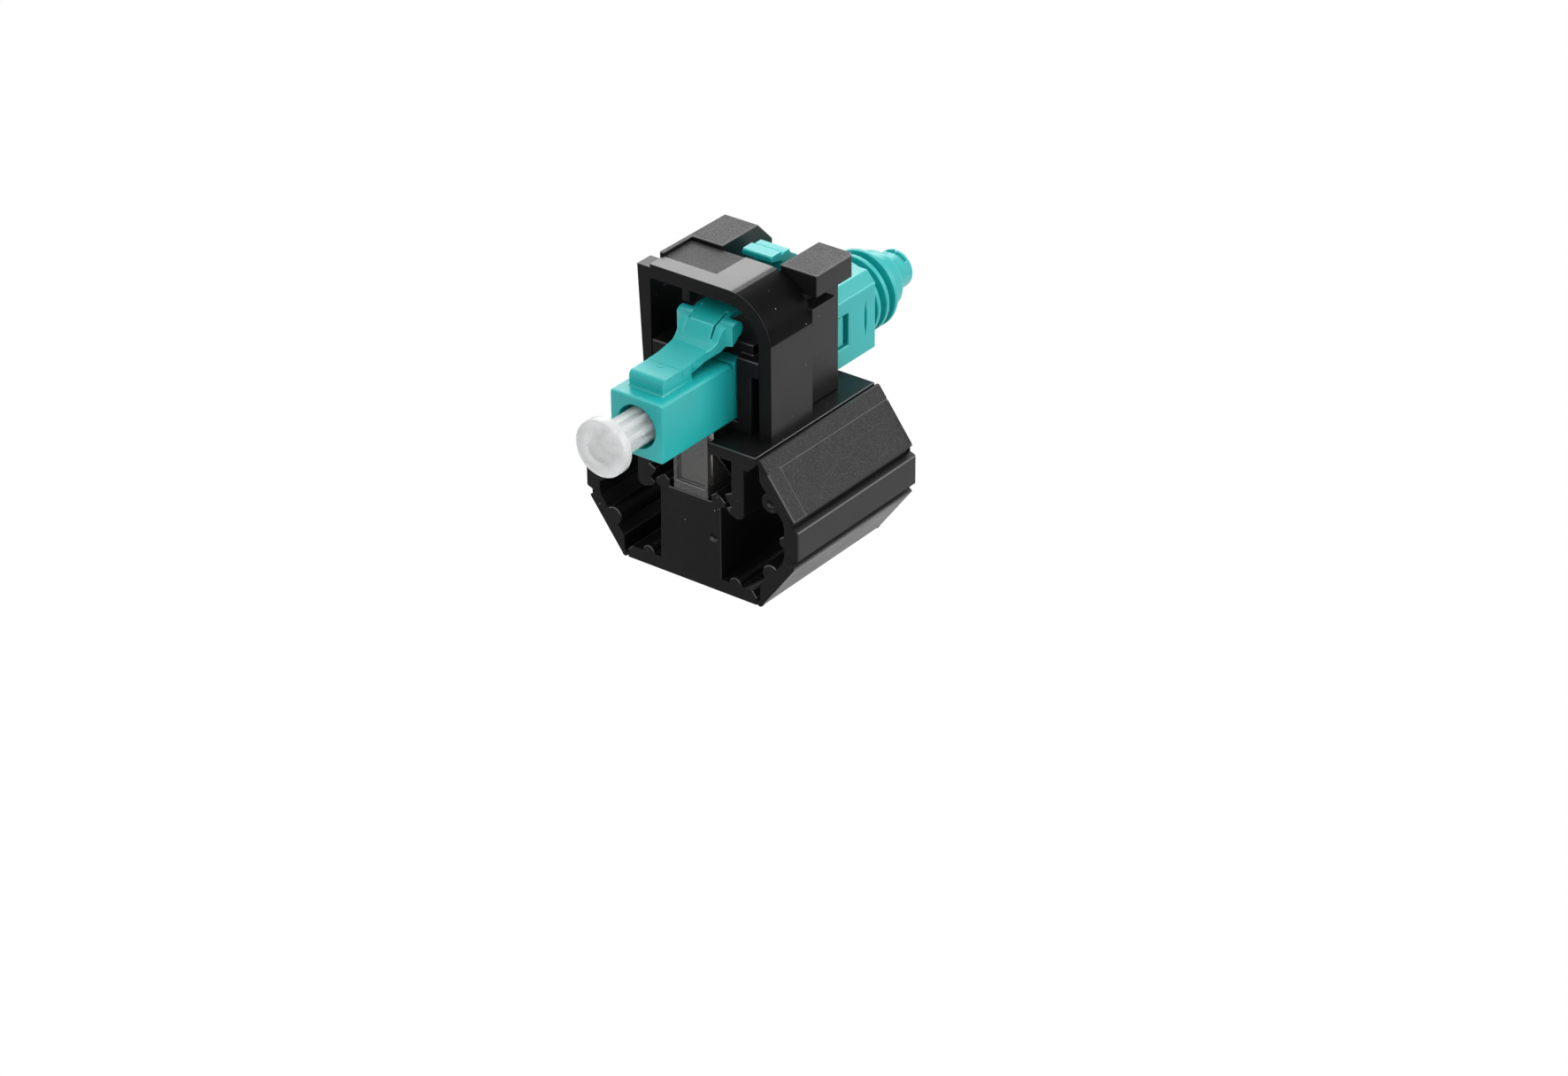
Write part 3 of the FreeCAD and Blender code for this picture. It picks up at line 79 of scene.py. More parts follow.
def new_group(name, inputs, outputs):
    """An empty shader node group with float or colour sockets."""
    group = bpy.data.node_groups.new(name, "ShaderNodeTree")
    for socket, kind, value in inputs:
        made = group.interface.new_socket(socket, in_out="INPUT", socket_type=kind)
        made.default_value = value
    for socket, kind in outputs:
        group.interface.new_socket(socket, in_out="OUTPUT", socket_type=kind)
    entry = group.nodes.new("NodeGroupInput")
    leave = group.nodes.new("NodeGroupOutput")
    return group, entry, leave


def noise(tree, scale, detail=2.0, roughness=0.5):
    """A noise texture on Object coordinates."""
    place = tree.nodes.new("ShaderNodeTexCoord")
    texture = tree.nodes.new("ShaderNodeTexNoise")
    tree.links.new(place.outputs["Object"], texture.inputs["Vector"])
    if isinstance(scale, float):
        texture.inputs["Scale"].default_value = scale
    else:
        tree.links.new(scale, texture.inputs["Scale"])
    texture.inputs["Detail"].default_value = detail
    texture.inputs["Roughness"].default_value = roughness
    return texture


def ramp(tree, source, low, high, start, end):
    """Maps source from low..high to start..end, held at the ends."""
    step = tree.nodes.new("ShaderNodeMapRange")
    tree.links.new(source, step.inputs["Value"])
    for socket, value in (("From Min", low), ("From Max", high), ("To Min", start), ("To Max", end)):
        if isinstance(value, (int, float)):
            step.inputs[socket].default_value = value
        else:
            tree.links.new(value, step.inputs[socket])
    return step.outputs["Result"]


def math_node(tree, operation, first, second):
    """One maths step on two numbers or sockets."""
    step = tree.nodes.new("ShaderNodeMath")
    step.operation = operation
    for socket, value in zip(step.inputs, (first, second)):
        if isinstance(value, (int, float)):
            socket.default_value = value
        else:
            tree.links.new(value, socket)
    return step.outputs["Value"]


def mix_colour(tree, factor, first, second):
    """A blend of two colours or sockets."""
    step = tree.nodes.new("ShaderNodeMix")
    step.data_type = "RGBA"
    tree.links.new(factor, step.inputs["Factor"])
    for socket, value in ((step.inputs[6], first), (step.inputs[7], second)):
        if isinstance(value, tuple):
            socket.default_value = (*value, 1.0)
        else:
            tree.links.new(value, socket)
    return step.outputs[2]


def make_moulded_skin():
    """Height and patchiness of a moulded plastic face: fine grain over slow waves."""
    group, entry, leave = new_group(
        "moulded_skin",
        [("Grain Scale", "NodeSocketFloat", 9000.0), ("Grain", "NodeSocketFloat", 1.0),
         ("Waves", "NodeSocketFloat", 0.3)],
        [("Height", "NodeSocketFloat"), ("Patches", "NodeSocketFloat")],
    )
    grain = noise(group, entry.outputs["Grain Scale"], 3.0, 0.6)
    waves = noise(group, WAVE_SCALE, 2.0)
    fine = math_node(group, "MULTIPLY", grain.outputs["Fac"], entry.outputs["Grain"])
    slow = math_node(group, "MULTIPLY", waves.outputs["Fac"], entry.outputs["Waves"])
    group.links.new(math_node(group, "ADD", fine, slow), leave.inputs["Height"])
    group.links.new(waves.outputs["Fac"], leave.inputs["Patches"])
    return group


def make_dust():
    """A mask of sparse bright specks, as lint on dark plastic."""
    group, entry, leave = new_group(
        "dust_specks",
        [("Amount", "NodeSocketFloat", 0.5)],
        [("Specks", "NodeSocketFloat")],
    )
    place = group.nodes.new("ShaderNodeTexCoord")
    cells = group.nodes.new("ShaderNodeTexVoronoi")
    cells.inputs["Scale"].default_value = DUST_SCALE
    group.links.new(place.outputs["Object"], cells.inputs["Vector"])
    dot = ramp(group, cells.outputs["Distance"], 0.05, 0.12, 1.0, 0.0)
    chosen = noise(group, DUST_PATCH_SCALE, 1.0)
    pick = ramp(group, chosen.outputs["Fac"], 0.66, 0.7, 0.0, 1.0)
    both = math_node(group, "MULTIPLY", dot, pick)
    group.links.new(math_node(group, "MULTIPLY", both, entry.outputs["Amount"]), leave.inputs["Specks"])
    return group


moulded_skin = make_moulded_skin()
dust_specks = make_dust()


# Materials

def new_material(name):
    """A material, its node tree and its main shader."""
    material = bpy.data.materials.new(name)
    material.use_nodes = True
    tree = material.node_tree
    return material, tree, tree.nodes["Principled BSDF"]


def add_skin(tree, shader, grain, grain_scale, waves, bump, strength=1.0):
    """Gives a shader the relief of a moulded face, bump millimetres deep, and returns its group node."""
    skin = tree.nodes.new("ShaderNodeGroup")
    skin.node_tree = moulded_skin
    skin.inputs["Grain Scale"].default_value = grain_scale
    skin.inputs["Grain"].default_value = grain
    skin.inputs["Waves"].default_value = waves
    raised = tree.nodes.new("ShaderNodeBump")
    raised.inputs["Strength"].default_value = strength
    raised.inputs["Distance"].default_value = bump * MM
    tree.links.new(skin.outputs["Height"], raised.inputs["Height"])
    tree.links.new(raised.outputs["Normal"], shader.inputs["Normal"])
    return skin


def add_soft_light(shader, share, radii, reach):
    """Lets light spread up to reach millimetres under a surface."""
    shader.inputs["Subsurface Weight"].default_value = share
    shader.inputs["Subsurface Radius"].default_value = radii
    shader.inputs["Subsurface Scale"].default_value = reach * MM


def plastic(name, colour, roughness, grain=0.15, grain_scale=9000.0, waves=0.3, bump=0.02,
            dust=0.0, darker=0.85, specular=0.5, soft_light=0.0, painted_glint=0.0):
    """An opaque moulded plastic with grain, slow waves, patchy gloss, dust and pale painted glints."""
    material, tree, shader = new_material(name)
    skin = add_skin(tree, shader, grain, grain_scale, waves, bump)
    dark = tuple(channel * darker for channel in colour)
    patches = ramp(tree, skin.outputs["Patches"], 0.35, 0.65, 0.0, 1.0)
    body = mix_colour(tree, patches, dark, colour)
    if dust > 0.0:
        specks = tree.nodes.new("ShaderNodeGroup")
        specks.node_tree = dust_specks
        specks.inputs["Amount"].default_value = dust
        body = mix_colour(tree, specks.outputs["Specks"], body, (0.6, 0.6, 0.6))
    # Pale specks mixed toward white in the base colour: painted glints, standing in for the grain catching
    # light.
    if painted_glint > 0.0:
        glints = ramp(tree, noise(tree, GLINT_SCALE, 2.0).outputs["Fac"], 0.5, 0.62, 0.0, painted_glint)
        body = mix_colour(tree, glints, body, (1.0, 1.0, 1.0))
    tree.links.new(body, shader.inputs["Base Color"])
    tree.links.new(
        ramp(tree, skin.outputs["Patches"], 0.3, 0.7, roughness * 0.9, roughness * 1.1),
        shader.inputs["Roughness"],
    )
    shader.inputs["Specular IOR Level"].default_value = specular
    if soft_light > 0.0:
        add_soft_light(shader, soft_light, (0.4, 1.0, 1.0), 0.4)
    return material


def clear_plastic(name, colour, roughness, through, ior=1.49, cloud=0.0):
    """A clear or milky moulded plastic."""
    material, tree, shader = new_material(name)
    skin = add_skin(tree, shader, grain=0.1, grain_scale=9000.0, waves=1.0, bump=0.03, strength=0.6)
    dark = tuple(channel * 0.92 for channel in colour)
    tree.links.new(
        mix_colour(tree, ramp(tree, skin.outputs["Patches"], 0.3, 0.7, 0.0, 1.0), dark, colour),
        shader.inputs["Base Color"],
    )
    tree.links.new(
        ramp(tree, skin.outputs["Patches"], 0.3, 0.7, roughness * 0.7, roughness * 1.3),
        shader.inputs["Roughness"],
    )
    shader.inputs["Transmission Weight"].default_value = through
    shader.inputs["IOR"].default_value = ior
    if cloud > 0.0:
        add_soft_light(shader, cloud, (1.0, 1.0, 1.0), 0.8)
    return material


def metal(name, colour, roughness):
    """A drawn or plated metal with a finely uneven polish."""
    material, tree, shader = new_material(name)
    shader.inputs["Metallic"].default_value = 1.0
    fine = noise(tree, SCRATCH_SCALE, 3.0)
    tree.links.new(
        ramp(tree, fine.outputs["Fac"], 0.3, 0.7, roughness * 0.7, roughness * 1.4),
        shader.inputs["Roughness"],
    )
    dark = tuple(channel * 0.8 for channel in colour)
    tree.links.new(mix_colour(tree, fine.outputs["Fac"], dark, colour), shader.inputs["Base Color"])
    return material


BLACK = (0.0068, 0.0064, 0.0066)
AQUA = (0.012, 0.47, 0.465)
black_satin = plastic(
    "tool_black_satin", BLACK, 0.38, grain=0.3, bump=0.006, dust=0.5, specular=0.32
)
# Its pale specks are painted glints on the spark grain.
black_spark = plastic(
    "tool_black_spark", BLACK, 0.42, grain=1.0, grain_scale=9000.0, bump=0.08, dust=0.25,
    specular=0.33, painted_glint=0.033,
)
black_smooth = plastic(
    "tool_black_smooth", BLACK, 0.27, grain=0.1, waves=0.5, bump=0.006, dust=0.7, specular=0.5
)
black_dull = plastic(
    "tool_black_dull", BLACK, 0.55, grain=1.0, grain_scale=15000.0, bump=0.03, dust=1.0,
    specular=0.11,
)
black_corner = plastic(
    "tool_black_corner", BLACK, 0.32, grain=0.3, grain_scale=20000.0, bump=0.012, dust=1.0,
    specular=0.02,
)
black_low = plastic(
    "tool_black_low", BLACK, 0.38, grain=0.3, grain_scale=9000.0, bump=0.006, dust=0.3,
    specular=0.3,
)
# A lighter, glossier black: painted highlight on the upward-facing roundings.
black_painted_highlight = plastic(
    "tool_black_painted_highlight", (0.042, 0.041, 0.042), 0.3, grain=0.3, bump=0.004, specular=0.8
)
aqua_satin = plastic("connector_aqua_satin", AQUA, 0.36, bump=0.004, soft_light=0.25, darker=0.94)
# A lighter, glossier aqua: painted highlight on the upward-facing roundings.
aqua_painted_highlight = plastic(
    "connector_aqua_painted_highlight", (0.05, 0.58, 0.575), 0.25, bump=0.003, soft_light=0.25, darker=0.94,
    specular=0.7,
)
wedge_clear = clear_plastic("wedge_clear_plastic", (0.38, 0.365, 0.355), 0.1, 0.86)
# A paler, less clear copy of the wedge plastic: painted highlight on its upward-facing roundings.
wedge_painted_highlight = clear_plastic("wedge_clear_painted_highlight", (0.8, 0.79, 0.78), 0.2, 0.6)
cap_milky = clear_plastic("cap_milky_plastic", (0.96, 0.975, 0.98), 0.3, 0.42, cloud=0.5)
ferrule_ceramic = plastic("ferrule_ceramic", (0.86, 0.86, 0.84), 0.12, bump=0.001)
holder_metal = metal("ferrule_holder_nickel", (0.72, 0.7, 0.66), 0.25)
fibre_glass = clear_plastic("fibre_glass", (0.95, 0.97, 0.98), 0.03, 1.0, ior=1.46)
splice_plastic = plastic("splice_natural", (0.74, 0.7, 0.58), 0.3, soft_light=0.2)
spring_steel = metal("spring_steel_drawn", (0.6, 0.6, 0.61), 0.22)
retainer_black = plastic("retainer_black_gloss", BLACK, 0.25, bump=0.003)
# Each list's second material is a lighter, glossier copy: the painted highlight that upward-facing
# roundings get.
blacks = [black_satin, black_painted_highlight, black_spark, black_smooth, black_dull, black_corner, black_low]
SATIN, PAINTED_EDGE_HIGHLIGHT, SPARK, SMOOTH, DULL, CORNER, LOW = range(len(blacks))
aquas = [aqua_satin, aqua_painted_highlight]
clears = [wedge_clear, wedge_painted_highlight]


# Making pieces

WELD = 0.0005 * MM
FLAT_ANGLE = math.radians(0.3)
ROUND_ANGLE = math.radians(28.0)
SHADE_ANGLE = math.radians(35.0)
# How far up a rounding must face to get the painted highlight.
HIGHLIGHT_LIFT = 0.15
BODY_OF = {
    node: body for body, nodes in frame["record"]["behaviour"]["bodies"].items() for node in nodes
}
SLOT_OF = {part["node"]: part["material_slot"] for part in frame["record"]["subparts"]}


def merged_copy(node):
    """A bmesh copy of a CAD node with its triangles welded and its flat faces joined."""
    shape = bmesh.new()
    shape.from_mesh(frame["nodes"][node].data)
    bmesh.ops.remove_doubles(shape, verts=shape.verts, dist=WELD)
    bmesh.ops.dissolve_limit(
        shape, angle_limit=FLAT_ANGLE, verts=shape.verts, edges=shape.edges,
        use_dissolve_boundaries=False, delimit=set(),
    )
    return shape


def sharp_edges(shape):
    """Edges where two faces meet at an angle that a mould would round."""
    return [
        edge for edge in shape.edges
        if len(edge.link_faces) == 2 and edge.calc_face_angle(0.0) > ROUND_ANGLE
    ]


def has_room(edge, reach):
    """Whether the faces beside an edge are wide enough for a rounding of this reach."""
    along = (edge.verts[1].co - edge.verts[0].co).normalized()
    for face in edge.link_faces:
        for vertex in edge.verts:
            for other in vertex.link_edges:
                if other is edge or other not in face.edges:
                    continue
                side = other.other_vert(vertex).co - vertex.co
                across = (side - along * side.dot(along)).length
                if across > 0.2 * side.length and across < reach:
                    return False
    return True


def joined_groups(edges):
    """The edges sorted into groups that hang together."""
    waiting = dict.fromkeys(edges)
    groups = []
    while waiting:
        group = [waiting.popitem()[0]]
        for edge in group:
            for vertex in edge.verts:
                for other in vertex.link_edges:
                    if other in waiting:
                        del waiting[other]
                        group.append(other)
        groups.append(group)
    return groups


def bevel(shape, edges, reach, segments):
    """Rounds these edges, and gives the roundings that face upward the painted highlight, a lighter and
    glossier copy of the material.
    """
    made = bmesh.ops.bevel(
        shape, geom=edges, offset=reach, offset_type="OFFSET", affect="EDGES",
        segments=segments, profile=0.5, material=-1, clamp_overlap=True,
    )
    for face in made["faces"]:
        face.normal_update()
        # Upward-facing roundings get the painted highlight, the others the plain satin.
        face.material_index = PAINTED_EDGE_HIGHLIGHT if face.normal.z > HIGHLIGHT_LIFT else SATIN


def goes_astray(shape, group, reach, segments, surface):
    """Whether rounding these edges would throw a point off the piece or fold a face."""
    trial = shape.copy()
    trial.edges.ensure_lookup_table()
    bevel(trial, [trial.edges[edge.index] for edge in group], reach, segments)
    area, trial_area = (sum(face.calc_area() for face in part.faces) for part in (shape, trial))
    folded = trial_area > area * 1.0002
    thrown = any(surface.find_nearest(vertex.co)[3] > reach * 1.1 for vertex in trial.verts)
    trial.free()
    return folded or thrown


def round_group(shape, group, reach, segments, surface):
    """Rounds a group of edges, or its halves where the whole can't be rounded."""
    group = [edge for edge in group if edge.is_valid]
    if not group:
        return
    shape.edges.index_update()
    if not goes_astray(shape, group, reach, segments, surface):
        bevel(shape, group, reach, segments)
    elif len(group) > 1:
        half = len(group) // 2
        round_group(shape, group[:half], reach, segments, surface)
        round_group(shape, group[half:], reach, segments, surface)


def soften(shape, width, segments):
    """Rounds the sharp edges of a moulded piece, and less where its faces are narrow."""
    for part in (1.0, 0.4):
        reach = width * part * MM
        surface = BVHTree.FromBMesh(shape)
        chosen = [edge for edge in sharp_edges(shape) if has_room(edge, reach * 2.1)]
        for group in joined_groups(chosen):
            round_group(shape, group, reach, segments, surface)


def finish_piece(shape, name, body, materials, nodes=()):
    """Turns a bmesh into a piece that rides on its body, if it has one, and replaces its CAD nodes."""
    mesh = bpy.data.meshes.new(name)
    shape.to_mesh(mesh)
    shape.free()
    for material in materials:
        mesh.materials.append(material)
    mesh.shade_smooth()
    mesh.set_sharp_from_angle(angle=SHADE_ANGLE)
    piece = bpy.data.objects.new(name, mesh)
    bpy.context.scene.collection.objects.link(piece)
    even = piece.modifiers.new("even_shading", "WEIGHTED_NORMAL")
    even.keep_sharp = True
    if body:
        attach(piece, body)
    if nodes:
        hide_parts(*nodes)
    return piece


def paint(shape, choose):
    """Gives each face the material index that choose returns for its normal and centre."""
    for face in shape.faces:
        # Faces that carry the painted highlight keep it.
        if face.material_index != PAINTED_EDGE_HIGHLIGHT:
            face.material_index = choose(face.normal, face.calc_center_median() / MM)


def moulded(node, width, materials, choose=None, segments=2, shaping=None):
    """The usual dressing: a CAD node's copy with rounded edges and its finishes, the painted highlight of
    the upward roundings second.
    """
    shape = merged_copy(node)
    if shaping:
        shaping(shape)
    soften(shape, width, segments)
    if choose:
        paint(shape, choose)
    return finish_piece(
        shape, f"{node}_skin", BODY_OF[node], materials, nodes=(node,)
    )


def recoat(material, *nodes):
    """Hidden or small CAD nodes keep their meshes and get a finish."""
    for node in nodes:
        data = frame["nodes"][node].data
        data.materials.clear()
        data.materials.append(material)


def slab(outline, low, high, name, body, slot, material):
    """A closed piece with one outline in y and z, between two places across the width."""
    shape = bmesh.new()
    side = shape.faces.new([shape.verts.new(Vector((low, y, z)) * MM) for y, z in outline])
    grown = bmesh.ops.extrude_face_region(shape, geom=[side])["geom"]
    moved = [part for part in grown if isinstance(part, bmesh.types.BMVert)]
    bmesh.ops.translate(shape, verts=moved, vec=((high - low) * MM, 0.0, 0.0))
    bmesh.ops.recalc_face_normals(shape, faces=shape.faces)
    return finish_piece(shape, name, body, [material])


def turned(outline, centre, axis, name, body, material, steps):
    """A closed ring: an outline in radius and distance along an axis, y or z, spun round it."""
    shape = bmesh.new()
    along = Vector((0.0, 1.0, 0.0)) if axis == "y" else Vector((0.0, 0.0, 1.0))
    middle = Vector(centre)
    points = [
        shape.verts.new((middle + Vector((radius, 0.0, 0.0)) + along * reach) * MM)
        for radius, reach in outline
    ]
    loop = [shape.edges.new(pair) for pair in zip(points, points[1:] + points[:1])]
    bmesh.ops.spin(
        shape, geom=points + loop, cent=middle * MM, axis=along, dvec=(0.0, 0.0, 0.0),
        angle=math.tau, steps=steps, use_merge=True,
    )
    bmesh.ops.recalc_face_normals(shape, faces=shape.faces)
    return finish_piece(shape, name, body, [material])


# Squeeze frame

FIELD_FRONT = 1.4
FIELD_TOP = 0.95
FIELD_STEP = 0.07
FIELD_SINK = 0.06
FLANK_NORMAL = (0.86, 0.0, 0.511)


def end_finish(normal, centre):
    """Duller ends, where the mould's halves met, and satin sides."""
    return DULL if abs(normal.y) > 0.9 or normal.z < -0.3 else SATIN


def upper_flank_finish(normal, centre):
    """Spark texture on the outer faces that lean in to the roof, and dull ends."""
    return SPARK if abs(normal.x) > 0.6 and normal.z > 0.3 else end_finish(normal, centre)


def lower_flank_finish(normal, centre):
    """More shine on the outer faces that lean out over the floor."""
    return LOW if abs(normal.x) > 0.6 and normal.z < -0.2 else end_finish(normal, centre)


def textured_field(shape, sign):
    """Sinks the textured field of an upper flank a little, behind its smoother front strip."""
    outward = Vector((sign * FLANK_NORMAL[0], *FLANK_NORMAL[1:]))
    low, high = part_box("upper_flank_right")
    front = low[1] + FIELD_FRONT * MM
    top = high[2] - FIELD_TOP * MM
    cuts = (((0.0, front, 0.0), (0.0, 1.0, 0.0)), ((0.0, 0.0, top), (0.0, 0.0, 1.0)))
    for place, normal in cuts:
        bmesh.ops.bisect_plane(
            shape, geom=shape.verts[:] + shape.edges[:] + shape.faces[:], dist=1e-7,
            plane_co=place, plane_no=normal,
        )
    field = [
        face for face in shape.faces
        if face.normal.dot(outward) > 0.99
        and face.calc_center_median().y > front and face.calc_center_median().z < top
    ]
    bmesh.ops.inset_region(
        shape, faces=field, thickness=FIELD_STEP * MM, depth=-FIELD_SINK * MM,
        use_even_offset=True, use_boundary=True,
    )


for sign, side in ((-1, "left"), (1, "right")):
    moulded(
        f"upper_flank_{side}", 0.08, blacks, upper_flank_finish,
        shaping=lambda shape: textured_field(shape, sign),
    )
    moulded(f"lower_flank_{side}", 0.08, blacks, lower_flank_finish)
    moulded(f"side_grip_{side}", 0.08, blacks, end_finish)
moulded("base_plate", 0.06, blacks, end_finish)
moulded("roof_plate", 0.07, blacks, end_finish)


# Tower, holder and wedge

YOKE_TOP = 22.2
YOKE_BORDER = 22.33
LUG_TOP = 22.4
LUG_UNDERSIDE = 20.3
LUG_OVERHANG = 4.1
LUG_LIFT = 0.6


def tower_finish(normal, centre):
    """Texture in the yoke's sunk top panel, a smooth border round it and a dark big corner."""
    if normal.z > 0.97 and centre.z > YOKE_TOP:
        return SMOOTH if centre.z > YOKE_BORDER else SPARK
    if 0.1 < normal.z < 0.97 and normal.x > 0.1 and centre.x > 1.0:
        return CORNER
    return end_finish(normal, centre)


def holder_finish(normal, centre):
    """Texture on the tops of the lugs."""
    return SPARK if normal.z > 0.9 and centre.z > LUG_TOP else end_finish(normal, centre)


def thinner_lug(shape):
    """Lifts the right lug's underside where it overhangs its wall."""
    for vertex in shape.verts:
        if vertex.co.x > LUG_OVERHANG * MM and abs(vertex.co.z / MM - LUG_UNDERSIDE) < 0.05:
            vertex.co.z += LUG_LIFT * MM


moulded("tower", 0.1, blacks, tower_finish, segments=3)
moulded("connector_holder", 0.09, blacks, holder_finish, shaping=thinner_lug)
moulded("release_wedge", 0.05, clears)


# Film hinges

HINGE_PROUD = 0.02
HINGE_CHAMFER = 0.03
HINGE_DEPTH = 0.2
HINGE_HOLE = 0.02
# Each hinge's inner panel, with the hinge's place across and up and the radius that closes its gap
HINGES = {
    "lower": ("base_plate", 6.0, 0.25, 0.25),
    "grip": ("lower_flank_right", 8.45, 4.37, 0.4),
    "upper": ("side_grip_right", 8.45, 7.28, 0.4),
}


def hinge_end(radius, face, out):
    """The outline of a disc over a hinge's end, on the frame's front (out -1) or back (out 1)."""
    return [
        (HINGE_HOLE, face + out * HINGE_PROUD),
        (radius - HINGE_CHAMFER, face + out * HINGE_PROUD),
        (radius, face + out * (HINGE_PROUD - HINGE_CHAMFER)),
        (radius, face - out * HINGE_DEPTH),
        (HINGE_HOLE, face - out * HINGE_DEPTH),
    ]


for hinge, (node, across, height, radius) in HINGES.items():
    low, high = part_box(node)
    for sign, side in ((-1, "left"), (1, "right")):
        for out, end, face in ((-1, "front", low[1] / MM), (1, "back", high[1] / MM)):
            turned(
                hinge_end(radius, face, out), (sign * across, 0.0, height), "y",
                f"film_hinge_{hinge}_{side}_{end}", BODY_OF[node.replace("right", side)],
                black_dull, steps=32,
            )


# Nose and latch

BLOCK_FRONT = NOSE_FRONT + 1.13
BLOCK_TOP = AXIS + 3.42
BLOCK_HALF = 1.45
LATCH_PIVOT = -8.4
ARM_SLOPE = (3.76 - 3.42) / 1.8
WEB_HALF = 1.47
EAR_SLOT = (-1.21, -1.01)


def nose_corners(shape):
    """Rounds the nose's front rim and the front of the latch's block more than the rest."""
    corners, brow, rim = [], [], []
    for edge in shape.edges:
        middle = (edge.verts[0].co + edge.verts[1].co) / 2 / MM
        along = (edge.verts[1].co - edge.verts[0].co).normalized()
        if abs(middle.y - NOSE_FRONT) < 0.02 and abs(along.y) < 0.1:
            if max(abs(middle.x), abs(middle.z - AXIS)) > 2.0:
                rim.append(edge)
        elif abs(middle.y - BLOCK_FRONT) < 0.02 and middle.z > AXIS + 2.3:
            if abs(along.z) > 0.9 and abs(abs(middle.x) - BLOCK_HALF) < 0.02:
                corners.append(edge)
            elif abs(along.x) > 0.9 and abs(middle.z - BLOCK_TOP) < 0.02:
                brow.append(edge)
    for edges, reach, segments in ((rim, 0.16, 3), (brow, 0.36, 6), (corners, 0.1, 3)):
        bevel(shape, [edge for edge in edges if edge.is_valid], reach * MM, segments)
    for face in shape.faces:
        face.material_index = SATIN


def root_height(y):
    """The latch's top line where the arm grows out of its block."""
    start, end = LATCH_PIVOT - 0.9, LATCH_PIVOT + 1.0
    share = min(max((y - start) / (end - start), 0.0), 1.0)
    return BLOCK_TOP + 0.015 + ARM_SLOPE * (end - LATCH_PIVOT) * share * share


def bead(radius, width, rise, base):
    """The outline of a low rounded ring that stands on a face."""
    turns = [math.pi * step / 8 for step in range(9)]
    round_top = [(radius - width * math.cos(turn), base + rise * math.sin(turn)) for turn in turns]
    return [(radius - width, base - 0.02)] + round_top + [(radius + width, base - 0.02)]


moulded("front_housing", 0.07, aquas, shaping=nose_corners)
moulded("latch_arm", 0.08, aquas)
ear_web = (
    (-6.1, 3.88), (-5.97, 3.96), (-5.37, 4.93), (-3.95, 5.41),
    (-3.95, 5.1), (-4.25, 5.0), (-4.25, 4.25), (-5.6, 3.88),
)
slab(
    [(y, AXIS + z) for y, z in ear_web], *EAR_SLOT, "left_ear_web", "latch",
    SLOT_OF["latch_arm"], aqua_satin,
)
web_top = [LATCH_PIVOT - 1.1 + 0.1 * step for step in range(21)]
web_foot = ((0.75, 3.0), (0.35, 2.85), (-0.35, 2.8), (-0.9, 2.9))
latch_web = slab(
    [(y, root_height(y)) for y in web_top] + [(LATCH_PIVOT + y, AXIS + z) for y, z in web_foot],
    -WEB_HALF, WEB_HALF, "latch_root_web", None, SLOT_OF["latch_arm"], aqua_satin,
)
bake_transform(latch_web)
turned(
    bead(0.27, 0.05, 0.035, BLOCK_TOP), (-0.11, -9.75, 0.0), "z", "ejector_ring", "carriage",
    aqua_satin, steps=40,
)
moulded("trigger", 0.08, aquas)
moulded("rear_housing", 0.07, aquas)


# Cap and what is inside the connector

def cap_ring(shape):
    """Sinks a shallow ring into the cap's front face, where it left the mould."""
    forward = [face for face in shape.faces if face.normal.y < -0.99]
    front = min(forward, key=lambda face: face.calc_center_median().y)
    for thickness, depth in ((0.5, 0.0), (0.08, -0.025), (0.32, 0.0), (0.08, 0.025)):
        bmesh.ops.inset_individual(
            shape, faces=[front], thickness=thickness * MM, depth=depth * MM,
            use_even_offset=True,
        )


moulded("dust_cap", 0.12, [cap_milky] * 2, segments=4, shaping=cap_ring)
moulded("ferrule", 0.01, [ferrule_ceramic] * 2)
moulded("spring_retainer", 0.04, [retainer_black] * 2)
recoat(holder_metal, "ferrule_holder")
recoat(fibre_glass, "fibre_stub")
recoat(splice_plastic, "splice_half_left", "splice_half_right", "guide_tube")
recoat(spring_steel, "splice_clamp")
coil = finish_piece(
    merged_copy("ferrule_spring"), "ferrule_spring_coil", None,
    [spring_steel], nodes=("ferrule_spring",),
)
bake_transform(coil)


# Studio

def light_panel(name, place, target, width, height, radiance):
    """A soft rectangular lamp that faces a point."""
    lamp = bpy.data.lights.new(name, "AREA")
    lamp.shape = "RECTANGLE"
    lamp.size = width
    lamp.size_y = height
    lamp.energy = radiance * math.pi * width * height
    panel = bpy.data.objects.new(name, lamp)
    bpy.context.scene.collection.objects.link(panel)
    aim = (Vector(target) - Vector(place)).to_track_quat("-Z", "Y")
    panel.matrix_world = Matrix.Translation(Vector(place)) @ aim.to_matrix().to_4x4()


def background_rays(tree):
    """A mask of the rays from the camera, a gloss or a clear piece, which see the white background."""
    rays = tree.nodes.new("ShaderNodeLightPath").outputs
    straight = math_node(tree, "MAXIMUM", rays["Is Camera Ray"], rays["Is Transmission Ray"])
    return math_node(tree, "MAXIMUM", straight, rays["Is Glossy Ray"])


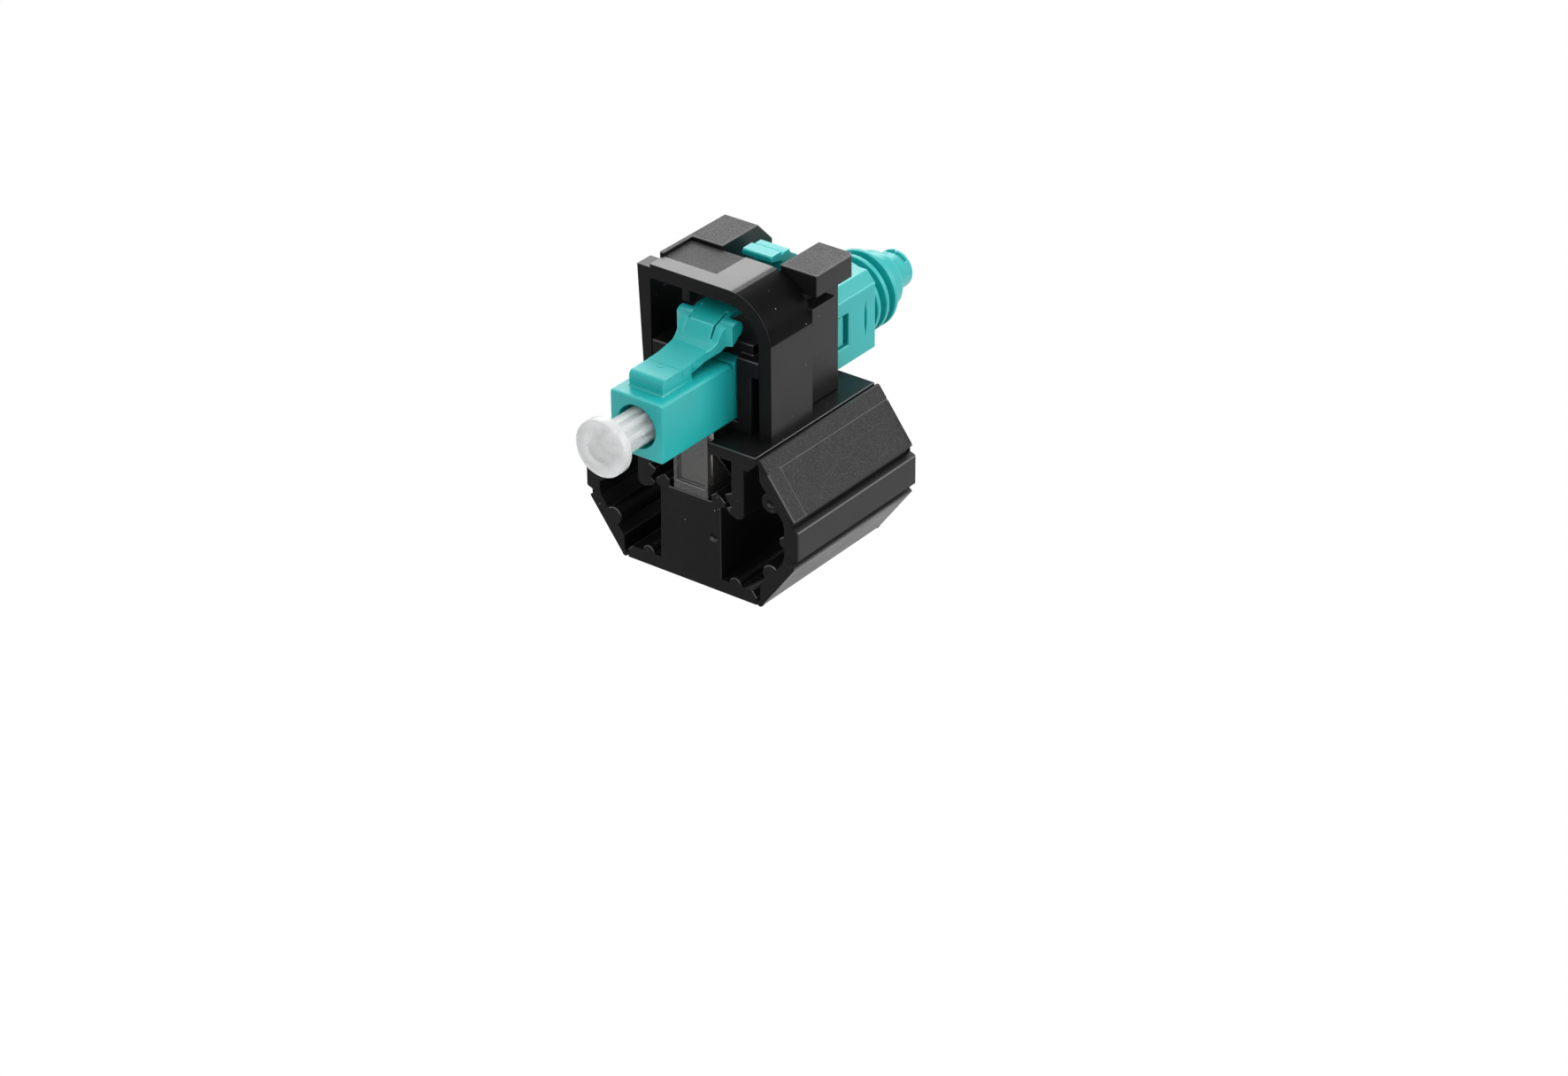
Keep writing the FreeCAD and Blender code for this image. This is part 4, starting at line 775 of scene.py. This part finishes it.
def white_floor():
    """A pale floor that shows white to the camera and lights the piece from below."""
    shape = bmesh.new()
    bmesh.ops.create_circle(shape, cap_ends=True, radius=3.0, segments=64)
    mesh = bpy.data.meshes.new("studio_floor")
    shape.to_mesh(mesh)
    shape.free()
    material = bpy.data.materials.new("studio_floor_white")
    material.use_nodes = True
    tree = material.node_tree
    tree.nodes.clear()
    out = tree.nodes.new("ShaderNodeOutputMaterial")
    paper = tree.nodes.new("ShaderNodeBsdfDiffuse")
    paper.inputs["Color"].default_value = (0.8, 0.8, 0.8, 1.0)
    white = tree.nodes.new("ShaderNodeEmission")
    mix = tree.nodes.new("ShaderNodeMixShader")
    tree.links.new(background_rays(tree), mix.inputs[0])
    tree.links.new(paper.outputs[0], mix.inputs[1])
    tree.links.new(white.outputs[0], mix.inputs[2])
    tree.links.new(mix.outputs[0], out.inputs["Surface"])
    mesh.materials.append(material)
    floor = bpy.data.objects.new("studio_floor", mesh)
    bpy.context.scene.collection.objects.link(floor)


def set_world():
    """White to the camera, and a soft grey room that is darker in front."""
    world = bpy.data.worlds.new("studio_room")
    bpy.context.scene.world = world
    world.use_nodes = True
    tree = world.node_tree
    tree.nodes.clear()
    out = tree.nodes.new("ShaderNodeOutputWorld")
    room = tree.nodes.new("ShaderNodeBackground")
    backdrop = tree.nodes.new("ShaderNodeBackground")
    place = tree.nodes.new("ShaderNodeTexCoord")
    parts = tree.nodes.new("ShaderNodeSeparateXYZ")
    tree.links.new(place.outputs["Generated"], parts.inputs["Vector"])
    depth = ramp(tree, parts.outputs["Y"], -0.6, 0.6, 0.0, 1.0)
    tree.links.new(
        mix_colour(tree, depth, (0.22, 0.22, 0.22), (0.6, 0.6, 0.6)), room.inputs["Color"]
    )
    mix = tree.nodes.new("ShaderNodeMixShader")
    tree.links.new(background_rays(tree), mix.inputs[0])
    tree.links.new(room.outputs[0], mix.inputs[1])
    tree.links.new(backdrop.outputs[0], mix.inputs[2])
    backdrop.inputs["Color"].default_value = (1.0, 1.0, 1.0, 1.0)
    tree.links.new(mix.outputs[0], out.inputs["Surface"])


def set_camera():
    """The camera of the photograph: a long lens from the right front, looking down."""
    azimuth = math.radians(37.09)
    elevation = math.radians(29.76)
    roll = math.radians(-0.37)
    back = Vector((
        math.sin(azimuth) * math.cos(elevation),
        -math.cos(azimuth) * math.cos(elevation),
        math.sin(elevation),
    ))
    level = Vector((math.cos(azimuth), math.sin(azimuth), 0.0))
    upright = back.cross(level)
    right = level * math.cos(roll) + upright * math.sin(roll)
    up = upright * math.cos(roll) - level * math.sin(roll)
    lens = bpy.data.cameras.new("photo_camera")
    lens.sensor_width = 36.0
    lens.lens = 101.33
    lens.clip_start = 0.01
    lens.clip_end = 10.0
    camera = bpy.data.objects.new("photo_camera", lens)
    bpy.context.scene.collection.objects.link(camera)
    turn = Matrix((right, up, back)).transposed().to_4x4()
    camera.matrix_world = Matrix.Translation(Vector((166.6, -216.56, 156.47)) * MM) @ turn
    bpy.context.scene.camera = camera


white_floor()
set_world()
set_camera()
centre_point = (0.0, 0.0, 0.012)
light_panel("back_wall", (-0.3, 0.4, 0.27), centre_point, 0.45, 0.3, 3.3)
light_panel("overhead", (0.0, 0.0, 0.45), centre_point, 0.4, 0.4, 1.6)
light_panel("right_fill", (0.36, 0.24, 0.22), centre_point, 0.3, 0.3, 3.2)
light_panel("front_fill", (0.1, -0.45, 0.3), centre_point, 0.4, 0.4, 1.5)
bpy.context.scene.view_settings.view_transform = "Standard"
